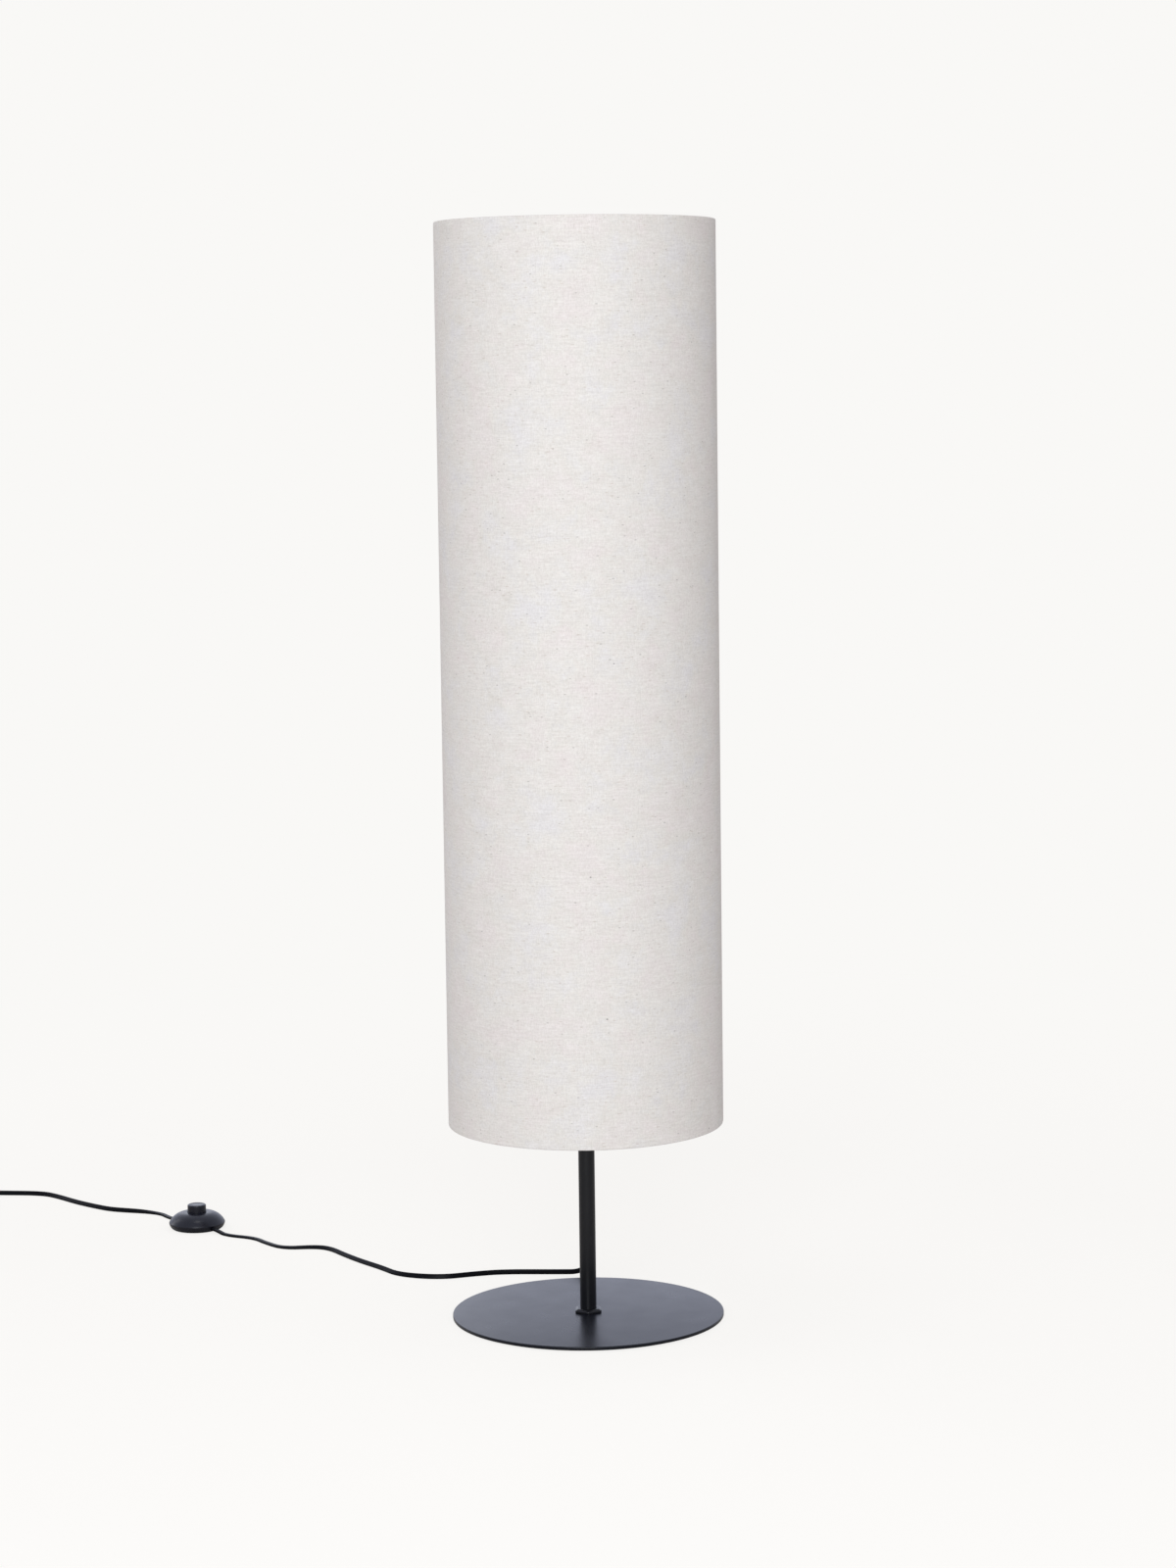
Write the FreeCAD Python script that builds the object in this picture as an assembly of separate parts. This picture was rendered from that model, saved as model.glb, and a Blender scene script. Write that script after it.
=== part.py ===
"""Column floor lamp: textile cylinder shade on a short pole, round steel base, foot switch, mains cord.

Millimetres, +Z up, X to the right and Y to the back. The origin is the centre of the base on the floor.
Each function below makes one piece, and the block at the end writes one STEP file for each.
"""
import FreeCAD
import Part
import math
import os

V = FreeCAD.Vector
Y_AXIS = V(0, 1, 0)
Z_AXIS = V(0, 0, 1)
ORIGIN = V(0, 0, 0)

# ---------------------------------------------------------------- driving dimensions
# base
plate_radius = 125.0
plate_thickness = 3.0
plate_edge_round = 0.7
pad_thickness = 1.0
pad_inset = 3.0                 # rim of the pad stands this far inside the plate's rim
pad_hole_radius = 12.0
base_thread_radius = 4.0        # M8 screw that holds the pole
base_head_radius = 6.5
base_head_land = 0.3            # straight rim of the countersunk head
base_screw_length = 22.0
base_socket_flats = 5.0
base_socket_depth = 2.4

# pole
pole_radius = 7.5
pole_wall = 1.0
foot_flats = 24.0               # across the flats of the hexagon foot
foot_top_flats = 19.0           # of the smaller hexagon that the bevels rise to
foot_side_height = 2.1
foot_height = 3.4
foot_spigot_length = 22.0
foot_thread_depth = 24.0
lower_pole_length = 300.0
pole_top = 500.0                # over the floor
coupler_length = 44.0
coupler_wall = 1.2
top_plug_flange = 2.0
top_plug_spigot = 16.0
nipple_radius = 5.0             # M10 x 1 hollow nipple
nipple_bore_radius = 3.8
nipple_in_holder = 9.0

# cord exit at the back of the pole
exit_height = 55.0
bush_shank_radius = 4.0
bush_flange_radius = 5.6
bush_flange_thickness = 1.5
bush_tail_length = 20.5
bush_tail_radius = 4.7
bush_tail_end_radius = 3.3
bush_depth_inside = 3.0         # from the pole's outside to the bush's inner end
lead_wall_gap = 1.5             # between the lead's bend and the inside of the pole

# lamp holder, for a lamp cap with a 27 mm thread
dome_neck_radius = 9.0
dome_neck_height = 6.0
dome_flare_height = 12.0
dome_height = 30.0
dome_bulge = 1.5                # of the bell's flare, outwards from a straight cone
dome_floor = 5.0                # under the inside of the dome
holder_wall = 2.0
shell_radius = 19.75            # outside thread that takes the shade rings
shell_height = 46.0             # above the dome
shell_spigot_length = 8.0
shell_bore_radius = 14.2
core_radius = 15.0
core_height = 22.0
core_above_dome = 8.0           # top of the core over the dome's rim
screw_shell_wall = 0.5
screw_shell_height = 30.0
terminal_offset = 8.0
terminal_screw_radius = 1.5
terminal_head_radius = 2.6
terminal_head_height = 2.0
terminal_screw_length = 5.0
tongue_width = 5.0
tongue_thickness = 0.5
tongue_height = 5.0
tongue_foot = 7.0               # from the axis to the tongue's riser
tongue_overhang = 3.0           # of the tongue's pad past the axis
screw_shell_lip = 2.0           # of the flange at the foot of the screw shell
lug_length = 2.5
lug_height = 3.0
grub_radius = 1.5               # locking screw through the dome's neck

# shade rings and the shade's fixing
ring_seat_height = 46.0         # lower shade ring over the bottom of the holder
ring_height = 8.0
ring_radius = 27.5
ring_ribs = 20
ring_rib_cut = 0.8
washer_thickness = 0.8
washer_radius = 26.0
hub_thickness = 1.5
hub_radius = 31.0
arm_count = 3
arm_radius = 1.75
arm_ring_gap = 1.3              # from the shade rings' rims to the arms' inner ends
wire_radius = 2.0               # of the shade's wire rings

# shade
shade_radius = 126.0            # outside of the fabric
shade_height = 818.0
carrier_height = 374.0          # hub's underside over the shade's lower rim
fabric_thickness = 0.8
liner_thickness = 0.6
hem_corner = 0.6                # radius of the fold at the shade's rims

# lamp, 60 mm globe
cap_radius = 13.2
cap_height = 21.5
cap_wall = 0.4
tip_radius = 4.8
tip_height = 1.7
insulator_height = 2.5
insulator_radius = 9.5
insulator_margin = 1.0          # of the insulator's lower face round the tip
cap_floor_lap = 2.0             # of the cap's floor under the insulator's rim
collar_radius = 13.7
collar_height = 9.0
housing_height = 26.0
housing_radius = 28.0
housing_wall = 2.0
globe_radius = 30.0
lamp_length = 110.0
globe_wall = 1.2
globe_neck_level = 0.45         # place of the neck's middle, as a share of the way down from the centre
globe_neck_bulge = 0.4
board_radius = 21.0
board_thickness = 1.6

# cord: flat twin flex; its width is the tube's diameter
cord_radius = 2.5
floor_line = cord_radius        # height of a cord that lies on the floor

# foot switch
switch_x = -400.6
switch_y = 365.3
switch_turn = -50.0             # direction in which the lamp's cord leaves it, from +X
switch_radius = 28.5
switch_belly = 6.4              # height of the widest place
switch_foot_radius = 24.3
switch_knee_radius = 27.2       # at switch_knee, between the foot and the belly
switch_knee = 2.6
switch_shoulder_radius = 22.3   # at switch_shoulder, between the belly and the collar
switch_shoulder = 13.7
switch_top_radius = 10.3
switch_top = 16.8
switch_base_thickness = 2.0
switch_wall = 1.8
port_height = 4.0
terminal_face = 19.0            # from the switch's axis to the end of the cord
terminal_block_length = 5.5
terminal_block_width = 9.0
button_radius = 9.4
button_top = 24.6
button_wall = 1.8
button_round = 1.2
button_flange_radius = 11.0
button_flange_thickness = 1.2
button_flange_gap = 0.4         # under the cover's roof
button_travel = 3.5
switch_screw_offset = 18.0
switch_screw_radius = 1.2
switch_screw_head_radius = 2.6
switch_screw_head_height = 1.2
switch_screw_grip = 5.0         # length of thread in the cover's posts
switch_post_radius = 3.0
spring_radius = 5.0
spring_wire_radius = 0.45
spring_turns = 6
spring_boss_radius = 4.0
spring_boss_height = 3.0
bridge_thickness = 0.6
bridge_inner_radius = 8.2
blade_thickness = 0.4
blade_width = 5.0
blade_reach = 8.0               # from the switch's axis to the blade's tip
blade_inset = 1.0               # from the terminal's outer face to the blade's end

# coil of spare cord, its tie and the plug
coil_x = -687.0
coil_y = 488.3
coil_mean_radius = 28.65
coil_pitch = 5.6                # from turn to turn and from layer to layer
coil_turns = 5.25
tie_width = 5.0
tie_thickness = 0.8
tie_corner = 1.5
plug_width = 35.3
plug_thickness = 13.7
plug_length = 36.0
plug_corner = 5.0
plug_waist = 16.0               # from the front face to where the narrowing starts
plug_waist_width = 32.3
plug_back_width = 13.0
plug_back_thickness = 11.0
plug_back_corner = 4.0
plug_x = -724.0
plug_tail_y = 400.0             # where the cord enters the plug
plug_tail_length = 28.0
plug_tail_radius = 4.4
plug_tail_end_radius = 3.2
pin_radius = 2.0
pin_length = 19.0
pin_tip_round = 1.2
pin_spacing = 18.6
sleeve_length = 10.0
pin_core_radius = 1.4
pin_depth_inside = 9.0

# clearances
thread_play = 0.3               # between threads that turn on each other
glue_gap = 0.05
hub_play = 0.4
button_play = 0.3
fit_gap = 0.1
contact_gap = 0.3
coil_tie_gap = 0.4

# ---------------------------------------------------------------- levels and radii that follow
plate_bottom = pad_thickness
plate_top = plate_bottom + plate_thickness
foot_top = plate_top + foot_height
pole_joint = foot_top + lower_pole_length
pole_inner = pole_radius - pole_wall
holder_bottom = pole_top + top_plug_flange
dome_top = holder_bottom + dome_height
shell_top = dome_top + shell_height
core_top = dome_top + core_above_dome
core_bottom = core_top - core_height
lower_ring_bottom = holder_bottom + ring_seat_height
hub_bottom = lower_ring_bottom + ring_height
hub_top = hub_bottom + hub_thickness
washer_top = hub_top + washer_thickness
upper_ring_top = washer_top + ring_height
shade_bottom = hub_bottom - carrier_height
shade_top = shade_bottom + shade_height
liner_outer = shade_radius - fabric_thickness
liner_inner = liner_outer - liner_thickness
wire_track = liner_inner - glue_gap - wire_radius      # radius of the wire rings' centre line
hem_outer = wire_radius + glue_gap + fabric_thickness
tip_bottom = core_top + tongue_height + contact_gap
cap_bottom = tip_bottom + tip_height + insulator_height
cap_top = cap_bottom + cap_height
housing_bottom = cap_top
flare_bottom = housing_bottom + collar_height
housing_top = flare_bottom + housing_height
globe_top = tip_bottom + lamp_length
flange_bottom = switch_top - switch_wall - button_flange_gap - button_flange_thickness
bridge_bottom = flange_bottom - bridge_thickness
blade_top = bridge_bottom - button_travel - contact_gap
terminal_block_top = blade_top - blade_thickness
screw_tip = switch_base_thickness + switch_screw_grip
plug_back = plug_tail_y - plug_tail_length
plug_front = plug_back - plug_length
hub_inner = shell_radius + hub_play
coil_rest = tie_thickness + fit_gap + cord_radius       # height of the lower layer's centre line
coil_reach = coil_pitch * coil_turns / 4.0
coil_outer = coil_mean_radius + coil_reach
plug_axis = plug_thickness / 2.0
switch_way = V(math.cos(math.radians(switch_turn)), math.sin(math.radians(switch_turn)), 0)
switch_centre = V(switch_x, switch_y, 0)
bush_inner_y = pole_radius - bush_depth_inside
coil_start = V(coil_x + 2 * cord_radius, coil_y + coil_outer, coil_rest)
coil_end = V(coil_x - coil_outer, coil_y - 2 * cord_radius, coil_rest + coil_pitch)


def at_switch(distance, height):
    """A point on the cord's line through the switch."""
    return switch_centre + switch_way * distance + V(0, 0, height)


# route of the cord from the pole to the switch: over the back of the base, then along the floor
lamp_route = [
    V(0, bush_inner_y, exit_height),
    V(0, 48, exit_height),
    V(1, 91, 46),
    V(6, 123, 26),
    V(-4, 143, 5),
    V(-32, 154, floor_line),
    V(-83, 157, floor_line),
    V(-110, 150, floor_line),
    V(-143, 138, floor_line),
    V(-183, 152, floor_line),
    V(-201, 180, floor_line),
    V(-223, 208, floor_line),
    V(-241, 235, floor_line),
    V(-257, 262, floor_line),
    V(-273, 270, floor_line),
    V(-304, 267, floor_line),
    V(-324, 291, floor_line),
    V(-337, 312, floor_line),
    at_switch(53, floor_line),
    at_switch(35, port_height),
    at_switch(terminal_face, port_height),
]

# route from the switch to the start of the coil
coil_route = [
    at_switch(-terminal_face, port_height),
    at_switch(-34, port_height),
    at_switch(-50, floor_line),
    V(-447, 429, floor_line),
    V(-495, 440, floor_line),
    V(-516, 456, floor_line),
    V(-541, 479, floor_line),
    V(-564, 506, floor_line),
    V(-583, 522, floor_line),
    V(-630, 526, floor_line),
    V(-655, coil_start.y, coil_rest),
    coil_start,
]

# short lead from the coil to the plug
plug_route = [
    coil_end,
    V(coil_end.x, 464, coil_end.z),
    V(-722, 443.5, plug_axis),
    V(plug_x, 421.5, plug_axis),
    V(plug_x, plug_tail_y, plug_axis),
]


# ---------------------------------------------------------------- helpers
def cylinder(radius, bottom, top, centre=ORIGIN):
    return Part.makeCylinder(radius, top - bottom, centre + V(0, 0, bottom), Z_AXIS)


def tube(outer, inner, bottom, top, centre=ORIGIN):
    return cylinder(outer, bottom, top, centre).cut(cylinder(inner, bottom - 1, top + 1, centre))


def rod(radius, start, end):
    """Cylinder from one point to another."""
    way = end - start
    return Part.makeCylinder(radius, way.Length, start, way)


def box_about(centre, along, length, width, bottom, top):
    """Upright block with its length along a level direction."""
    block = Part.makeBox(length, width, top - bottom, V(-length / 2, -width / 2, bottom))
    block.rotate(ORIGIN, Z_AXIS, math.degrees(math.atan2(along.y, along.x)))
    block.translate(centre)
    return block


def arc_through(a, b, c):
    return Part.Arc(a, b, c).toShape()


def revolved(edges, centre=ORIGIN):
    """Solid of revolution about the vertical through centre; the outline lies in the XZ plane."""
    face = Part.Face(Part.Wire(edges))
    solid = face.revolve(ORIGIN, Z_AXIS, 360)
    solid.translate(centre)
    return solid


def outline(points):
    """Closed outline from (radius, height) pairs."""
    corners = [V(r, 0, z) for r, z in points]
    following = corners[1:] + corners[:1]
    return [Part.LineSegment(a, b).toShape() for a, b in zip(corners, following)]


def fused(shapes):
    whole = shapes[0]
    for shape in shapes[1:]:
        whole = whole.fuse(shape)
    return whole.removeSplitter()


def hexagon(flats, height):
    """Hexagon with a corner towards the front."""
    corner = flats / math.sqrt(3)
    angles = [math.radians(90 + 60 * k) for k in range(6)]
    points = [V(corner * math.cos(a), corner * math.sin(a), height) for a in angles]
    return Part.makePolygon(points + points[:1])


def hexagon_prism(flats, bottom, top):
    return Part.Face(hexagon(flats, bottom)).extrude(V(0, 0, top - bottom))


def ring_wire(track, thickness, height):
    return Part.makeTorus(track, thickness, V(0, 0, height), Z_AXIS)


def quadrant_blend(corner_in, corner, corner_out):
    """Point in the middle of the arc that is tangent to two equal runs meeting at a corner."""
    middle = (corner_in + corner_out) * 0.5
    half = (corner_in - middle).Length
    rise = (corner - middle).Length
    turn = 2 * math.atan2(rise, half)
    return middle + (corner - middle) * (math.tan(turn / 4) / math.tan(turn / 2))


def cord_path(points, share=0.45):
    """Straight runs joined by tangent arcs. Returns the edges and the arcs' radii.

    An arc takes the given share of the shorter of its two runs on each side of the corner.
    """
    edges = []
    radii = []
    last = points[0]
    for before, corner, after in zip(points, points[1:], points[2:]):
        way_in = corner - before
        way_out = after - corner
        reach = share * min(way_in.Length, way_out.Length)
        turn = way_in.getAngle(way_out)
        start = corner - V(way_in).normalize() * reach
        end = corner + V(way_out).normalize() * reach
        edges.append(Part.LineSegment(last, start).toShape())
        edges.append(arc_through(start, quadrant_blend(start, corner, end), end))
        radii.append(reach / math.tan(turn / 2))
        last = end
    edges.append(Part.LineSegment(last, points[-1]).toShape())
    return edges, radii


def swept(edges, radius):
    """Round section carried along a chain of edges."""
    path = Part.Wire(edges)
    first = edges[0]
    start = first.valueAt(first.FirstParameter)
    way = first.tangentAt(first.FirstParameter)
    section = Part.Wire(Part.Circle(start, way, radius).toShape())
    return path.makePipeShell([section], True, False)


def cord_tube(name, points, share=0.45):
    edges, radii = cord_path(points, share)
    solid = swept(edges, cord_radius)
    length = sum(edge.Length for edge in edges)
    expected = math.pi * cord_radius ** 2 * length
    print(f"{name}: length {length:.1f} mm, smallest radius {min(radii):.1f} mm,"
          f" volume over section x length {solid.Volume / expected:.5f}")
    print("  radii", [round(r) for r in radii])
    return solid


# ---------------------------------------------------------------- base
def make_base_pad():
    return tube(plate_radius - pad_inset, pad_hole_radius, 0, plate_bottom)


def screw_head_cone():
    """Countersunk head: a short rim and a right-angled cone down to the thread."""
    cone_height = base_head_radius - base_thread_radius
    rim = cylinder(base_head_radius, plate_bottom, plate_bottom + base_head_land)
    cone = Part.makeCone(base_head_radius, base_thread_radius, cone_height,
                         V(0, 0, plate_bottom + base_head_land), Z_AXIS)
    return rim.fuse(cone)


def make_base_plate():
    plate = cylinder(plate_radius, plate_bottom, plate_top)
    rims = [edge for edge in plate.Edges if len(edge.Vertexes) == 1]
    plate = plate.makeFillet(plate_edge_round, rims)
    plate = plate.cut(cylinder(base_thread_radius + fit_gap, plate_bottom - 1, plate_top + 1))
    return plate.cut(screw_head_cone())


def make_base_screw():
    shank = cylinder(base_thread_radius, plate_bottom, plate_bottom + base_screw_length)
    screw = screw_head_cone().fuse(shank).removeSplitter()
    return screw.cut(hexagon_prism(base_socket_flats, plate_bottom - 1, plate_bottom + base_socket_depth))


def make_pole_foot():
    """Hexagon foot with six bevels up to a smaller hexagon, and a spigot that fills the pole's end."""
    side_top = plate_top + foot_side_height
    sides = hexagon_prism(foot_flats, plate_top, side_top)
    bevels = Part.makeLoft([hexagon(foot_flats, side_top), hexagon(foot_top_flats, foot_top)], True, True)
    spigot = cylinder(pole_inner, foot_top, foot_top + foot_spigot_length)
    thread = cylinder(base_thread_radius, plate_top - 1, plate_top + foot_thread_depth)
    return fused([sides, bevels, spigot]).cut(thread)


# ---------------------------------------------------------------- pole
def make_lower_pole():
    pole = tube(pole_radius, pole_inner, foot_top, pole_joint)
    hole = rod(bush_shank_radius, V(0, 0, exit_height), V(0, pole_radius + 1, exit_height))
    return pole.cut(hole)


def make_upper_pole():
    return tube(pole_radius, pole_inner, pole_joint, pole_top)


def make_pole_coupler():
    half = coupler_length / 2
    return tube(pole_inner, pole_inner - coupler_wall, pole_joint - half, pole_joint + half)


def make_pole_top_plug():
    flange = cylinder(pole_radius, pole_top, holder_bottom)
    spigot = cylinder(pole_inner, pole_top - top_plug_spigot, pole_top)
    bore = cylinder(nipple_radius, pole_top - top_plug_spigot - 1, holder_bottom + 1)
    return flange.fuse(spigot).removeSplitter().cut(bore)


def make_pole_nipple():
    return tube(nipple_radius, nipple_bore_radius, pole_top - top_plug_spigot,
                holder_bottom + nipple_in_holder)


def make_cord_bush():
    """Soft bush in the pole's back: shank in the wall, saddle flange outside it, tapered tail."""
    def on_exit(y):
        return V(0, y, exit_height)

    flange_outer = pole_radius + bush_flange_thickness
    flange = rod(bush_flange_radius, on_exit(0), on_exit(flange_outer))
    flange = flange.cut(cylinder(pole_radius, 0, pole_joint))
    shank = rod(bush_shank_radius, on_exit(bush_inner_y), on_exit(flange_outer))
    tail = Part.makeCone(bush_tail_radius, bush_tail_end_radius, bush_tail_length,
                         on_exit(flange_outer), Y_AXIS)
    bore = rod(cord_radius, on_exit(0), on_exit(flange_outer + bush_tail_length + 1))
    return fused([flange, shank, tail]).cut(bore)


def make_inner_lead():
    """Lead inside the pole, from the bush round one bend and up to the lamp holder's core."""
    bend = pole_inner - cord_radius - lead_wall_gap
    rise = exit_height + bush_inner_y + bend
    turn = [V(0, bush_inner_y, exit_height), V(0, -bend, exit_height), V(0, -bend, rise)]
    edges, radii = cord_path(turn, 0.99)
    upper = [
        V(0, -bend, rise),
        V(0, -bend, pole_joint + coupler_length),
        V(0, 0, pole_top - 2 * top_plug_spigot),
        V(0, 0, core_bottom),
    ]
    upper_edges, upper_radii = cord_path(upper)
    path = edges + upper_edges
    solid = swept(path, cord_radius)
    length = sum(edge.Length for edge in path)
    expected = math.pi * cord_radius ** 2 * length
    print(f"inner_lead: length {length:.1f} mm, smallest radius {min(radii + upper_radii):.1f} mm,"
          f" volume over section x length {solid.Volume / expected:.5f}")
    return solid


# ---------------------------------------------------------------- lamp holder
def make_holder_dome():
    """Bell-shaped lower cover of the holder, threaded on the nipple."""
    neck_top = holder_bottom + dome_neck_height
    flare_top = neck_top + dome_flare_height

    def bell(radius_step, floor, roof):
        neck = dome_neck_radius - radius_step
        rim = shell_radius - radius_step
        lift = radius_step / 2
        a = V(neck, 0, neck_top + lift)
        b = V((neck + rim) / 2 + dome_bulge, 0, (neck_top + flare_top) / 2 + lift - dome_bulge)
        c = V(rim, 0, flare_top + lift)
        edges = [
            Part.LineSegment(V(0, 0, floor), V(neck, 0, floor)).toShape(),
            Part.LineSegment(V(neck, 0, floor), a).toShape(),
            arc_through(a, b, c),
            Part.LineSegment(c, V(rim, 0, roof)).toShape(),
            Part.LineSegment(V(rim, 0, roof), V(0, 0, roof)).toShape(),
            Part.LineSegment(V(0, 0, roof), V(0, 0, floor)).toShape(),
        ]
        return revolved(edges)

    outside = bell(0, holder_bottom, dome_top)
    inside = bell(holder_wall, holder_bottom + dome_floor, dome_top + 1)
    dome = outside.cut(inside)
    dome = dome.cut(cylinder(nipple_radius, holder_bottom - 1, neck_top))
    return dome.cut(grub_hole())


def grub_hole():
    height = holder_bottom + dome_neck_height / 2
    return rod(grub_radius, V(0, nipple_radius, height), V(0, dome_neck_radius + 1, height))


def make_holder_grub_screw():
    height = holder_bottom + dome_neck_height / 2
    return rod(grub_radius, V(0, nipple_radius, height), V(0, dome_neck_radius - fit_gap, height))


def make_holder_shell():
    """Threaded barrel: spigot inside the dome, seat for the core, bore for the lamp's cap."""
    spigot_radius = shell_radius - holder_wall - fit_gap
    barrel = cylinder(shell_radius, dome_top, shell_top)
    spigot = cylinder(spigot_radius, dome_top - shell_spigot_length, dome_top)
    body = barrel.fuse(spigot).removeSplitter()
    seat = cylinder(core_radius + fit_gap, dome_top - shell_spigot_length - 1, core_top)
    bore = cylinder(shell_bore_radius, core_top, shell_top + 1)
    return body.cut(seat).cut(bore)


def terminal_places():
    return [V(terminal_offset, 0, 0), V(-terminal_offset, 0, 0)]


def make_holder_core():
    core = cylinder(core_radius, core_bottom, core_top)
    for place in terminal_places():
        core = core.cut(cylinder(terminal_screw_radius, core_bottom - 1,
                                 core_bottom + terminal_screw_length, place))
    return core


def make_terminal_screws():
    screws = []
    for place in terminal_places():
        head = cylinder(terminal_head_radius, core_bottom - terminal_head_height, core_bottom, place)
        shank = cylinder(terminal_screw_radius, core_bottom, core_bottom + terminal_screw_length, place)
        screws.append(head.fuse(shank).removeSplitter())
    return Part.makeCompound(screws)


def make_screw_shell():
    """Metal sleeve for the lamp's cap, with a foot flange on the core."""
    outer = shell_bore_radius - fit_gap
    inner = cap_radius + thread_play
    sleeve = tube(outer, inner, core_top, core_top + screw_shell_height)
    flange = tube(outer, inner - screw_shell_lip, core_top, core_top + screw_shell_wall)
    return sleeve.fuse(flange).removeSplitter()


def make_centre_contact():
    """Sprung tongue: a foot on the core, a riser and the pad under the lamp's tip."""
    foot = Part.makeBox(tongue_foot, tongue_width, tongue_thickness, V(0, -tongue_width / 2, core_top))
    riser = Part.makeBox(tongue_thickness, tongue_width, tongue_height,
                         V(tongue_foot - tongue_thickness, -tongue_width / 2, core_top))
    pad = Part.makeBox(tongue_foot + tongue_overhang, tongue_width, tongue_thickness,
                       V(-tongue_overhang, -tongue_width / 2, core_top + tongue_height - tongue_thickness))
    return fused([foot, riser, pad])


def make_side_contact():
    """Lug on the core that carries the current to the screw shell."""
    outer = math.sqrt((cap_radius + thread_play) ** 2 - (tongue_width / 2) ** 2) - fit_gap
    return Part.makeBox(lug_length, tongue_width, lug_height,
                        V(-outer, -tongue_width / 2, core_top + screw_shell_wall))


# ---------------------------------------------------------------- shade rings
def ribbed_ring(bore, bottom, top):
    ring = tube(ring_radius, bore, bottom, top)
    for k in range(ring_ribs):
        angle = 2 * math.pi * k / ring_ribs
        place = V(ring_radius * math.cos(angle), ring_radius * math.sin(angle), 0)
        ring = ring.cut(cylinder(ring_rib_cut, bottom - 1, top + 1, place))
    return ring


def make_lower_shade_ring():
    return ribbed_ring(shell_radius, lower_ring_bottom, hub_bottom)


def make_upper_shade_ring():
    return ribbed_ring(shell_radius + thread_play, washer_top, upper_ring_top)


def make_ring_washer():
    return tube(washer_radius, hub_inner, hub_top, washer_top)


# ---------------------------------------------------------------- shade
def make_carrier_hub():
    return tube(hub_radius, hub_inner, hub_bottom, hub_top)


def make_carrier_arms():
    """Three arms, slotted over the hub's edge and shaped to the wire ring where they are welded to it."""
    level = V(0, 0, (hub_bottom + hub_top) / 2)
    hub, ring = make_carrier_hub(), make_shade_ring(level.z)
    start = ring_radius + arm_ring_gap
    arms = []
    for k in range(arm_count):
        angle = math.pi / 2 + 2 * math.pi * k / arm_count
        way = V(math.cos(angle), math.sin(angle), 0)
        arms.append(rod(arm_radius, way * start + level, way * wire_track + level).cut(hub).cut(ring))
    return Part.makeCompound(arms)


def make_shade_ring(height):
    return ring_wire(wire_track, wire_radius, height)


def make_shade_liner():
    return tube(liner_outer, liner_inner, shade_bottom + fabric_thickness + glue_gap,
                shade_top - fabric_thickness - glue_gap)


def make_shade_fabric():
    """One wall of fabric whose hems wrap round the end rings and close on the liner."""
    def hem(rim, up):
        """Outline of a hem from the wall's outside to its inside; up is +1 at the top, -1 below."""
        inner = wire_radius + glue_gap
        middle = rim - up * hem_outer
        tail = liner_inner - glue_gap
        corner = V(shade_radius, 0, rim - up * hem_corner)
        bevel = V(shade_radius - hem_corner, 0, rim)
        bend = 1 - math.sqrt(0.5)
        knee = V(shade_radius - hem_corner * bend, 0, rim - up * hem_corner * bend)
        over = V(wire_track, 0, rim)
        under = V(wire_track, 0, middle - up * hem_outer)
        under_in = V(wire_track, 0, middle - up * inner)
        over_in = V(wire_track, 0, middle + up * inner)
        return corner, [
            arc_through(corner, knee, bevel),
            Part.LineSegment(bevel, over).toShape(),
            arc_through(over, V(wire_track - hem_outer, 0, middle), under),
            Part.LineSegment(under, V(tail, 0, under.z)).toShape(),
            Part.LineSegment(V(tail, 0, under.z), V(tail, 0, under_in.z)).toShape(),
            Part.LineSegment(V(tail, 0, under_in.z), under_in).toShape(),
            arc_through(under_in, V(wire_track - inner, 0, middle), over_in),
            Part.LineSegment(over_in, V(liner_outer, 0, over_in.z)).toShape(),
        ], V(liner_outer, 0, over_in.z)

    top_corner, top_edges, top_inside = hem(shade_top, 1)
    low_corner, low_edges, low_inside = hem(shade_bottom, -1)
    walls = [
        Part.LineSegment(low_corner, top_corner).toShape(),
        Part.LineSegment(top_inside, low_inside).toShape(),
    ]
    edges = Part.__sortEdges__(walls + top_edges + low_edges)
    return revolved(edges)


# ---------------------------------------------------------------- lamp
def make_bulb_contact():
    return cylinder(tip_radius, tip_bottom, tip_bottom + tip_height)


def make_bulb_insulator():
    bottom = tip_bottom + tip_height
    return Part.makeCone(tip_radius + insulator_margin, insulator_radius, cap_bottom - bottom,
                         V(0, 0, bottom), Z_AXIS)


def make_bulb_cap():
    shell = tube(cap_radius, cap_radius - cap_wall, cap_bottom, cap_top)
    floor = tube(cap_radius - cap_wall, insulator_radius - cap_floor_lap, cap_bottom, cap_bottom + cap_wall)
    return shell.fuse(floor).removeSplitter()


def make_bulb_housing():
    """Collar and flared body that carries the globe."""
    outer = outline([(0, housing_bottom), (collar_radius, housing_bottom), (collar_radius, flare_bottom),
                     (housing_radius, housing_top), (0, housing_top)])
    inner = outline([(0, flare_bottom), (collar_radius - housing_wall, flare_bottom),
                     (housing_radius - housing_wall, housing_top - board_thickness),
                     (0, housing_top - board_thickness)])
    body = revolved(outer).cut(revolved(inner))
    opening = cylinder(board_radius, housing_top - board_thickness - 1, housing_top + 1)
    return body.cut(opening)


def make_led_board():
    return cylinder(board_radius - fit_gap, housing_top - board_thickness, housing_top)


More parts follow.
